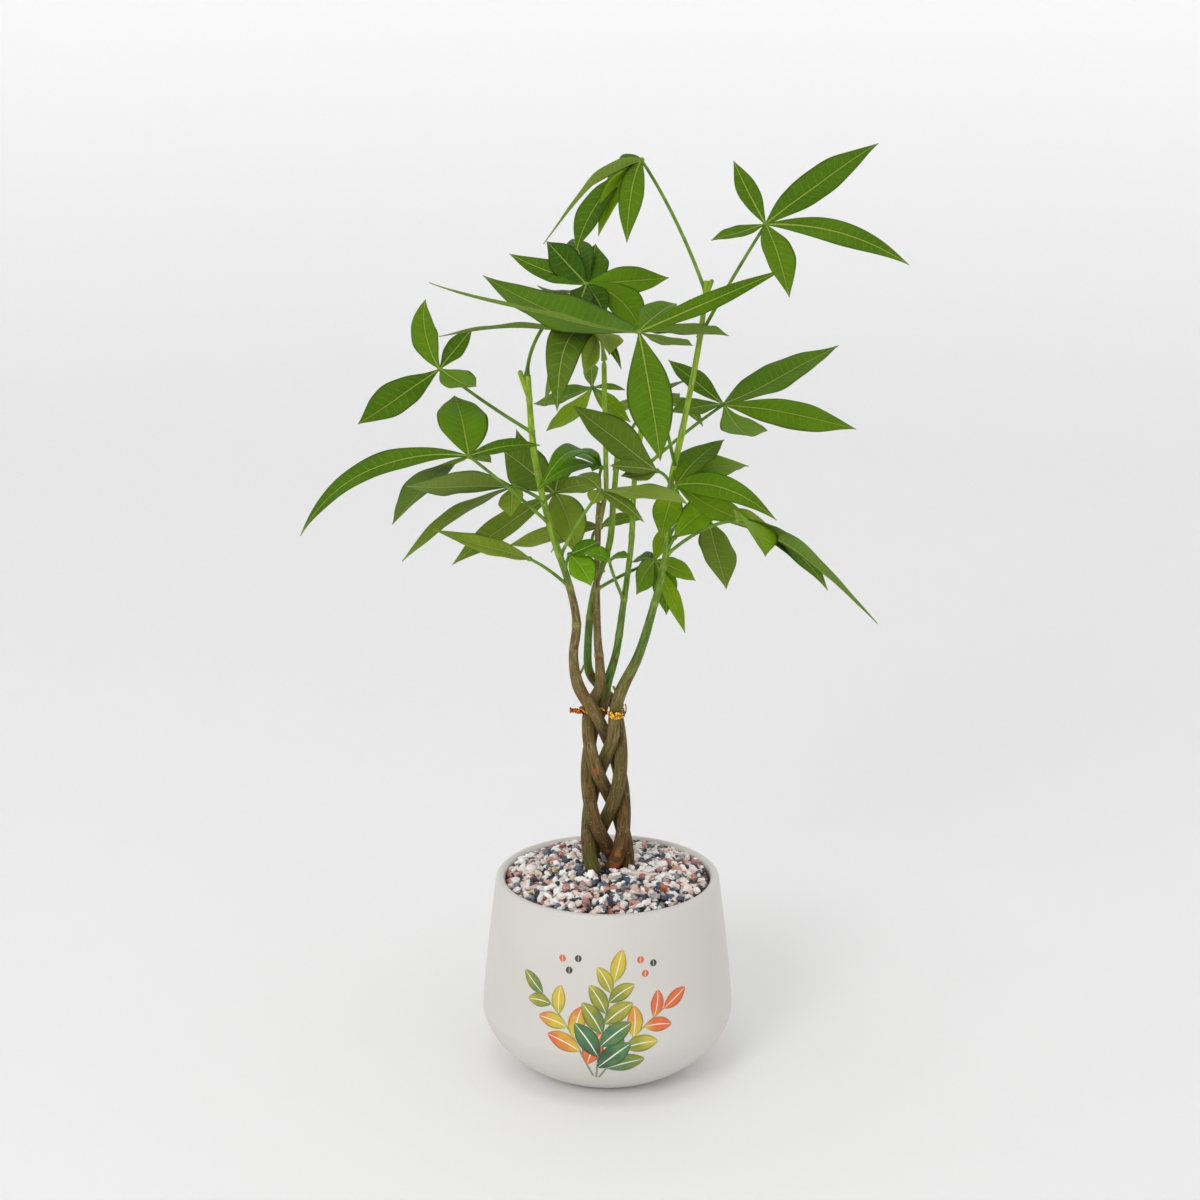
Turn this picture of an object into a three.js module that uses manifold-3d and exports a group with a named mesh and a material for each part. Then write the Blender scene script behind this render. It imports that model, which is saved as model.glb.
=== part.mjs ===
// A braided money tree (Pachira) in a small glazed pot: five plaited stems tied with a twist tie,
// each carrying compound leaves of long pointed leaflets on thin leaf stalks.
//
// Millimetres, +Z up, origin on the surface under the middle of the pot; -Y is the front.
// A direction is written as a heading in degrees (0 is +X, 90 is the back, 270 is the front)
// and a rise in degrees above the horizontal.
import * as THREE from "three";
import { mergeVertices } from "three/addons/utils/BufferGeometryUtils.js";
import Module from "manifold-3d";

const wasm = await Module();
wasm.setup();

// ---------------------------------------------------------------- driving dimensions

const GAP = 0.4; // clearance kept between neighbouring pieces
const SOIL_GAP = 0.9; // between the soil and the pot, whose floor curves up

const POT_RADIUS = 81; // at the belly
const POT_HEIGHT = 130;
const POT_WALL = 6;
const POT_BELLY_Z = 39.5;
const POT_FOOT_RADIUS = 44;
const POT_RIM_RADIUS = 72; // outside, at the top
const POT_FLOOR_Z = 8;
const POT_FLOOR_RADIUS = 38;

const SOIL_TOP_Z = 116;
const GRAVEL_EDGE_Z = 127.5; // level of the chips along the wall
const GRAVEL_MOUND = 9.5; // how much higher they lie at the trunk
const CHIP_SIZE = 6.8; // half the length of a gravel chip, which is drawn larger than life
const CHIP_PITCH = 13.6;

const ROOT_END_Z = 86; // where the stems end in the soil
const BRAID_PERIOD = 196; // height in which a strand returns to its place
const TIE_Z = 240;
const BRAID_WIDTH = { base: 13, top: 10 }; // sideways swing of a strand's middle
const BRAID_DEPTH = { base: 10.6, top: 9.8 }; // front to back swing
const BRAID_LEAN = { base: 0.8, top: -3 }; // the braid's middle, sideways
const STRAND_RADIUS = { base: 4.8, top: 3.9 };

const STEM_SIDES = 8;
const STALK_RADIUS = { stem: 1.15, hub: 0.95 };
const HUB_RADIUS = 2.4; // the knob where a leaf's leaflets meet
const BLADE_THICKNESS = 0.7; // at the margin; the midrib is twice that
const LEAFLET_FOLD = 0.2; // how far the margins rise above the midrib, per unit of half width

// ---------------------------------------------------------------- colours

const material = (color, roughness, metalness = 0) =>
  new THREE.MeshStandardMaterial({ color, roughness, metalness });

const GLAZE = material("#eceae4", 0.25);
const SOIL = material("#3a2a1e", 0.95);
const CHIPS = material("#b9aaa0", 0.7);
const BARK = material("#6f6433", 0.8);
const GREEN_STEM = material("#6d8a34", 0.6);
const GOLD_FOIL = material("#c9a24a", 0.3, 0.8);
const LEAF_GREEN = material("#4f7d1c", 0.45);
const LEAF_OLIVE = material("#64802c", 0.45);
const LEAF_YOUNG = material("#5ba51b", 0.4);

// ---------------------------------------------------------------- solids

const UP = new THREE.Vector3(0, 0, 1);
const point = ([x, y, z]) => new THREE.Vector3(x, y, z);
const mix = (from, to, t) => from + (to - from) * t;

function toSolid(geometry) {
  const bare = geometry.clone();
  bare.deleteAttribute("normal");
  bare.deleteAttribute("uv");
  const merged = mergeVertices(bare, 1e-4);
  return new wasm.Manifold(
    new wasm.Mesh({
      numProp: 3,
      vertProperties: new Float32Array(merged.attributes.position.array),
      triVerts: new Uint32Array(merged.index.array),
    }),
  );
}

function toGeometry(solid) {
  const mesh = solid.getMesh();
  const geometry = new THREE.BufferGeometry();
  geometry.setAttribute("position", new THREE.BufferAttribute(mesh.vertProperties, 3));
  geometry.setIndex(new THREE.BufferAttribute(mesh.triVerts, 1));
  geometry.computeVertexNormals();
  return geometry;
}

const joined = (solids) => solids.reduce((all, solid) => all.add(solid));

// The biggest body of a solid that a cut has left with loose scraps.
function biggest(solid) {
  const bodies = solid.decompose();
  bodies.sort((a, b) => b.volume() - a.volume());
  return bodies[0];
}

// A form is a closed unit shape to bend along a curve: x and z across it, y from 0 to 1 along it.
const rodForm = (sides, steps) => new THREE.CylinderGeometry(1, 1, 1, sides, steps).translate(0, 0.5, 0);

// A blade's form comes to a point at both ends and has six sides: two margins with a thickness,
// and the midrib above and below.
function bladeForm(stations) {
  const steps = stations.length - 1;
  const geometry = new THREE.SphereGeometry(1, 6, steps);
  const at = geometry.attributes.position;
  for (let i = 0; i < at.count; i += 1) {
    const polar = Math.acos(THREE.MathUtils.clamp(at.getY(i), -1, 1)) / Math.PI;
    const step = Math.round((1 - polar) * steps);
    const atPole = step === 0 || step === steps;
    const ring = atPole ? Infinity : Math.sin(polar * Math.PI);
    at.setXYZ(i, -at.getZ(i) / ring, stations[step], at.getX(i) / ring);
  }
  return geometry;
}

// Bends a form along the curve. place(t, x, z) returns how far sideways and how far outward a
// point of the section goes. The section turns with the curve, or keeps the facing side out.
function sweep(form, curve, place, facing = null) {
  const frameSteps = 60;
  const frames = curve.computeFrenetFrames(frameSteps, false);
  const at = form.attributes.position;
  for (let i = 0; i < at.count; i += 1) {
    const t = at.getY(i);
    const frame = Math.round(t * frameSteps);
    const tangent = facing ? curve.getTangentAt(t) : frames.tangents[frame];
    const side = facing
      ? new THREE.Vector3().crossVectors(tangent, facing).normalize()
      : frames.normals[frame];
    const out = new THREE.Vector3().crossVectors(side, tangent).normalize();
    const [sideways, outward] = place(t, at.getX(i), at.getZ(i));
    const vertex = curve.getPointAt(t).addScaledVector(side, sideways).addScaledVector(out, outward);
    at.setXYZ(i, vertex.x, vertex.y, vertex.z);
  }
  return toSolid(form);
}

// A round rod along the curve, its radius a function of t.
function rod(curve, sides, steps, radius) {
  return sweep(rodForm(sides, steps), curve, (t, x, z) => [x * radius(t), z * radius(t)]);
}

// A profile of [radius, height] points turned round the Z axis.
function turned(profile, segments) {
  const points = profile.map(([radius, height]) => new THREE.Vector2(radius, height));
  return toSolid(new THREE.LatheGeometry(points, segments).rotateX(Math.PI / 2));
}

// Points of a quarter ellipse from one angle to another, in degrees, both ends included.
function arc(centre, radii, from, to, steps) {
  return Array.from({ length: steps + 1 }, (_, i) => {
    const angle = THREE.MathUtils.degToRad(mix(from, to, i / steps));
    return [centre[0] + radii[0] * Math.cos(angle), centre[1] + radii[1] * Math.sin(angle)];
  });
}

// Points of a quadratic bend between two profile points, both ends included.
function bend(from, control, to, steps) {
  const curve = new THREE.QuadraticBezierCurve(
    new THREE.Vector2(...from),
    new THREE.Vector2(...control),
    new THREE.Vector2(...to),
  );
  return curve.getPoints(steps).map((p) => [p.x, p.y]);
}

// A repeatable draw between 0 and 1.
let drawState = 20;
function draw() {
  drawState = (drawState * 16807) % 2147483647;
  return drawState / 2147483647;
}

const parts = new THREE.Group();

function addPart(name, solid, look) {
  const mesh = new THREE.Mesh(toGeometry(solid), look);
  mesh.name = name;
  parts.add(mesh);
}

// ---------------------------------------------------------------- pot

const LATHE_SEGMENTS = 36;
const RIM_RADIUS = POT_WALL / 2;
const RIM_MIDDLE = [POT_RIM_RADIUS - RIM_RADIUS, POT_HEIGHT - RIM_RADIUS];

const bellyInside = POT_RADIUS - POT_WALL;
const mouthInside = POT_RIM_RADIUS - POT_WALL;

const potOutside = [
  [0, 0],
  ...bend([POT_FOOT_RADIUS, 0], [76.5, 15.5], [POT_RADIUS, POT_BELLY_Z], 5),
  ...bend([POT_RADIUS, POT_BELLY_Z], [POT_RADIUS, 57], [POT_RIM_RADIUS, RIM_MIDDLE[1]], 3).slice(1),
];

// The inside wall from the mouth down to the middle of the floor, set in from it by inset.
function potInside(inset, topZ) {
  const floorZ = POT_FLOOR_Z + inset;
  const wall = bend([mouthInside, RIM_MIDDLE[1]], [bellyInside, 57], [bellyInside, POT_BELLY_Z], 3);
  const corner = bend([bellyInside, POT_BELLY_Z], [71, 19], [POT_FLOOR_RADIUS, POT_FLOOR_Z], 3);
  return [...wall, ...corner.slice(1)]
    .filter(([, z]) => z <= topZ)
    .map(([radius, z]) => [radius - inset, Math.max(z, floorZ)])
    .concat([[0, floorZ]]);
}

const potRim = arc(RIM_MIDDLE, [RIM_RADIUS, RIM_RADIUS], 0, 180, 4);

const pot = turned(
  [...potOutside, ...potRim.slice(1), ...potInside(0, POT_HEIGHT).slice(1)],
  LATHE_SEGMENTS,
);
addPart("pot", pot, GLAZE);

// ---------------------------------------------------------------- stems

// Where a strand of the braid is at a height: sideways once and to and fro twice in a period,
// so it goes over the front from either edge to the middle, and behind to the other edge.
function braidPoint(phase, z) {
  const rise = (z - SOIL_TOP_Z) / (TIE_Z - SOIL_TOP_Z);
  const angle = THREE.MathUtils.degToRad(phase + (360 * (TIE_Z - z)) / BRAID_PERIOD);
  const middle = mix(BRAID_LEAN.base, BRAID_LEAN.top, rise);
  return [
    middle + mix(BRAID_WIDTH.base, BRAID_WIDTH.top, rise) * Math.sin(angle),
    mix(BRAID_DEPTH.base, BRAID_DEPTH.top, rise) * Math.sin(2 * angle),
    z,
  ];
}

// phase is the strand's place in the braid at the tie; above is its way through the tie and up,
// each point with the stem's radius there.
const STEMS = {
  far_left: {
    phase: -24,
    look: BARK,
    above: [
      [-7.5, -9, TIE_Z, 3.6],
      [-18.5, -8, 259, 3.9],
      [-21.5, -6, 277, 3],
      [-19.5, -5, 299, 2.6],
      [-24, -5, 323, 2.3],
      [-36, -4, 362, 2.1],
      [-45, -3, 405, 2],
      [-49, -2, 455, 1.9],
    ],
  },
  left: {
    phase: 48,
    look: GREEN_STEM,
    above: [
      [4.4, 9.7, TIE_Z, 3.5],
      [-4, 12.5, 251, 3.2],
      [-11.5, 7, 263, 2.9],
      [-12.5, 5, 282, 2.5],
      [-8.5, 6, 317, 2.1],
      [1, 7, 347, 2],
      [3.5, 8, 375, 1.9],
      [7, 9, 416, 1.7],
    ],
  },
  middle: {
    phase: 264,
    look: BARK,
    above: [
      [-12, 2, TIE_Z, 3.4],
      [-5, -3, 257, 3.4],
      [-5, -3, 270, 3],
      [-6.5, -2, 290, 2.4],
      [-7, -2, 325, 2],
      [-5.5, -2, 375, 1.6],
    ],
  },
  right: {
    phase: 192,
    look: GREEN_STEM,
    above: [
      [-3.5, 4.6, TIE_Z, 3.5],
      [-0.5, 4.5, 256, 3],
      [5, 6, 275, 2.6],
      [9.5, 6, 306, 2],
      [14.5, 5, 347, 1.8],
      [16.5, 5, 389, 1.7],
      [22, 6, 430, 1.6],
    ],
  },
  far_right: {
    phase: 120,
    look: BARK,
    above: [
      [4.5, -6.5, TIE_Z, 3.7],
      [8, -7, 254, 3.9],
      [19, -4, 277, 3.2],
      [27.5, -3, 305, 2.4],
      [36, -2, 343, 2],
      [39, -2, 389, 2],
      [45, -2, 418, 1.9],
      [56, 0, 479, 1.7],
      [59.5, 1, 512, 1.6],
    ],
  },
};

// Short growths fused to a stem: [foot, tip, radius].
const STEM_SPURS = {
  far_left: [[[-48, -2, 440], [-54, -2, 458], 1.5]],
  middle: [[[-5.8, -2, 358], [-1, -2, 384], 1.5], [[-1, -2, 382], [-2.5, -2, 465], 1.5]],
  far_right: [[[58.5, 1, 500], [63, 1, 513], 1.3]],
};

const BRAID_STEP = 14; // height between the points that a strand's curve runs through
const STEM_STEP = 13; // height between its cross sections

function stemPath({ phase, above }) {
  const places = [];
  for (let z = ROOT_END_Z; z < TIE_Z - BRAID_STEP / 2; z += BRAID_STEP) {
    const spread = (z - SOIL_TOP_Z) / (TIE_Z - SOIL_TOP_Z);
    places.push([...braidPoint(phase, z), mix(STRAND_RADIUS.base, STRAND_RADIUS.top, spread)]);
  }
  places[0][3] *= 0.6; // the cut root end
  places.push(...above);
  return places;
}

function stemSolid(name, extra) {
  const places = stemPath(STEMS[name]);
  const curve = new THREE.CatmullRomCurve3(places.map(([x, y, z]) => new THREE.Vector3(x, y, z)));
  const top = places.at(-1)[2];
  const radiusAt = (t) => {
    const { z } = curve.getPointAt(t);
    const next = Math.max(1, places.findIndex((place) => place[2] >= z - 0.01));
    const [below, over] = [places[next - 1], places[next]];
    const share = (z - below[2]) / (over[2] - below[2]);
    return mix(below[3], over[3], Math.min(1, Math.max(0, share))) + extra;
  };
  const steps = Math.round((top - ROOT_END_Z) / STEM_STEP);
  const spurs = (STEM_SPURS[name] ?? []).map(([foot, tip, radius]) =>
    rod(new THREE.LineCurve3(point(foot), point(tip)), 6, 2, () => radius + extra),
  );
  return joined([rod(curve, STEM_SIDES, steps, radiusAt), ...spurs]);
}

const stemNames = Object.keys(STEMS);
const stemRoom = Object.fromEntries(stemNames.map((name) => [name, stemSolid(name, GAP)]));
const allStemRoom = joined(Object.values(stemRoom));
stemNames.forEach((name) => addPart(`stem_${name}`, stemSolid(name, 0), STEMS[name].look));

// ---------------------------------------------------------------- soil and gravel

const ROOT_HOLE_RADIUS = 20; // a plain hole that the plaited roots stand in
const ROOT_HOLE_DEPTH = SOIL_TOP_Z - ROOT_END_Z + 2;

const soil = turned(
  [
    ...potInside(SOIL_GAP, SOIL_TOP_Z).reverse(),
    [mouthInside - SOIL_GAP, SOIL_TOP_Z],
    [ROOT_HOLE_RADIUS, SOIL_TOP_Z],
    [ROOT_HOLE_RADIUS, SOIL_TOP_Z - ROOT_HOLE_DEPTH],
    [0, SOIL_TOP_Z - ROOT_HOLE_DEPTH],
  ],
  LATHE_SEGMENTS,
);
addPart("soil", soil, SOIL);

const GRAVEL_RADIUS = mouthInside - GAP;
const gravelHeight = (radius) => GRAVEL_EDGE_Z + GRAVEL_MOUND * (1 - (radius / GRAVEL_RADIUS) ** 2);

// One angular chip, flattened and turned at random, half sunk in the layer.
function chip(radius, heading) {
  const shape = new THREE.OctahedronGeometry(CHIP_SIZE * mix(0.85, 1.15, draw()));
  shape.scale(1, mix(0.7, 0.95, draw()), mix(0.55, 0.75, draw()));
  shape.rotateX(mix(-0.5, 0.5, draw()));
  shape.rotateY(mix(-0.5, 0.5, draw()));
  shape.rotateZ(mix(0, Math.PI, draw()));
  const level = gravelHeight(radius) + mix(-0.4, 0.6, draw());
  shape.translate(radius * Math.cos(heading), radius * Math.sin(heading), level);
  return toSolid(shape);
}

function gravel() {
  const dome = [1, 0.8, 0.55, 0.3, 0].map((share) => share * GRAVEL_RADIUS);
  const layer = turned(
    [
      [0, SOIL_TOP_Z + GAP],
      [GRAVEL_RADIUS, SOIL_TOP_Z + GAP],
      ...dome.map((radius) => [radius, gravelHeight(radius)]),
    ],
    LATHE_SEGMENTS,
  );
  const chips = [];
  const innermost = BRAID_WIDTH.base;
  for (let radius = GRAVEL_RADIUS - CHIP_SIZE; radius > innermost; radius -= CHIP_PITCH) {
    const count = Math.round((2 * Math.PI * radius) / CHIP_PITCH);
    for (let i = 0; i < count; i += 1) {
      const heading = (2 * Math.PI * (i + mix(-0.2, 0.2, draw()))) / count;
      chips.push(chip(radius + mix(-1, 0.2, draw()), heading));
    }
  }
  const top = POT_HEIGHT + 30;
  const inWall = turned(
    [
      [0, SOIL_TOP_Z],
      [GRAVEL_RADIUS, SOIL_TOP_Z],
      [GRAVEL_RADIUS, top],
      [0, top],
    ],
    LATHE_SEGMENTS,
  );
  return biggest(joined([layer, ...chips]).intersect(inWall).subtract(allStemRoom));
}
addPart("gravel", gravel(), CHIPS);

// ---------------------------------------------------------------- twist tie

const TIE_BAND = { width: 2.8, thickness: 0.8 };
const TIE_WIRE_RADIUS = 0.5;

// The band goes round four of the stems and behind the far left one.
const TIE_LOOP = [
  [-9.7, -3.6],
  [-4, -3.2],
  [-1.4, -7],
  [0.6, -10.6],
  [5.2, -12.2],
  [9.8, -9.4],
  [10.2, -4],
  [9.8, 2],
  [9.8, 8.5],
  [8.6, 13.2],
  [4.4, 15],
  [-1, 13.4],
  [-8, 10],
  [-14.8, 7.2],
  [-17.5, 2.6],
  [-16.2, -3],
];
const TIE_STUB = [[-14.6, -3, TIE_Z + 0.4], [-24, -6, TIE_Z + 2]];
const TIE_TAIL = [
  [6, -12, TIE_Z],
  [10, -13, TIE_Z + 1],
  [11.5, -12.5, TIE_Z + 5],
  [11, -11.5, TIE_Z + 8],
];

// The four-sided form has its corners on the x and z axes; this makes them the band's corners.
const bandPlace = (t, x, z) => [((x + z) * TIE_BAND.thickness) / 2, ((z - x) * TIE_BAND.width) / 2];

function twistTie() {
  const loop = new THREE.CatmullRomCurve3(TIE_LOOP.map(([x, y]) => new THREE.Vector3(x, y, TIE_Z)), true);
  const half = (from, to) => {
    const places = Array.from({ length: 13 }, (_, i) => loop.getPointAt(mix(from, to, i / 12) % 1));
    return sweep(rodForm(4, 12), new THREE.CatmullRomCurve3(places), bandPlace, UP);
  };
  const stub = sweep(rodForm(4, 1), new THREE.LineCurve3(...TIE_STUB.map(point)), bandPlace, UP);
  const tail = rod(new THREE.CatmullRomCurve3(TIE_TAIL.map(point)), 4, 5, () => TIE_WIRE_RADIUS);
  return joined([half(0, 0.51), half(0.5, 1.01), stub, tail]);
}
addPart("twist_tie", twistTie(), GOLD_FOIL);

// ---------------------------------------------------------------- leaves

function direction(heading, rise) {
  const [h, r] = [heading, rise].map(THREE.MathUtils.degToRad);
  return new THREE.Vector3(Math.cos(r) * Math.cos(h), Math.cos(r) * Math.sin(h), Math.sin(r));
}

// A blade's width along it, as a share of its widest, and where its cross sections are. full is
// where along it the blade is widest.
const bladeShare = (t, full) => Math.sin(Math.PI * t ** (Math.log(0.5) / Math.log(full))) ** 1.1;
const BLADE_STATIONS = [0, 0.14, 0.36, 0.6, 0.82, 1];

// One leaflet: a pointed blade folded along its midrib, which arches upward by droop degrees at
// each end, as its weight bends it.
function leaflet(hub, facing, [heading, rise, length, width, droop = 15, roll = 0, full = 0.5]) {
  const along = direction(heading, rise);
  const across = (vector) => vector.clone().addScaledVector(along, -vector.dot(along)).normalize();
  const out = across(facing).applyAxisAngle(along, THREE.MathUtils.degToRad(roll));
  const arch = (length / 2) * Math.tan(THREE.MathUtils.degToRad(droop));
  const curve = new THREE.QuadraticBezierCurve3(
    point(hub),
    point(hub).addScaledVector(along, length / 2).addScaledVector(across(UP), arch),
    point(hub).addScaledVector(along, length),
  );
  const place = (t, x, z) => {
    const side = x / Math.sin(Math.PI / 3); // -1, 0 or 1 across the six-sided section
    const reach = (width / 2) * bladeShare(t, full);
    return [side * reach, z * BLADE_THICKNESS + Math.abs(side) * reach * LEAFLET_FOLD];
  };
  return sweep(bladeForm(BLADE_STATIONS), curve, place, out);
}

// A leaf: its stalk from the stem to the hub, and its leaflets round the hub.
function leafSolid({ stem, from, by, hub, faces, leaflets }) {
  const [start, end] = [point(from), point(hub)];
  const span = start.distanceTo(end);
  const control = by
    ? point(by).multiplyScalar(2).addScaledVector(start, -0.5).addScaledVector(end, -0.5)
    : start.clone().lerp(end, 0.5).add(new THREE.Vector3(0, 0, -0.08 * span));
  const stalk = rod(
    new THREE.QuadraticBezierCurve3(start, control, end),
    5,
    Math.max(2, Math.round(span / 18)),
    (t) => mix(STALK_RADIUS.stem, STALK_RADIUS.hub, t),
  );
  const knob = toSolid(new THREE.OctahedronGeometry(HUB_RADIUS).translate(...hub));
  const facing = direction(...faces);
  const whole = joined([stalk, knob, ...leaflets.map((row) => leaflet(hub, facing, row))]);
  return biggest(whole.subtract(stemRoom[stem]));
}

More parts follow.
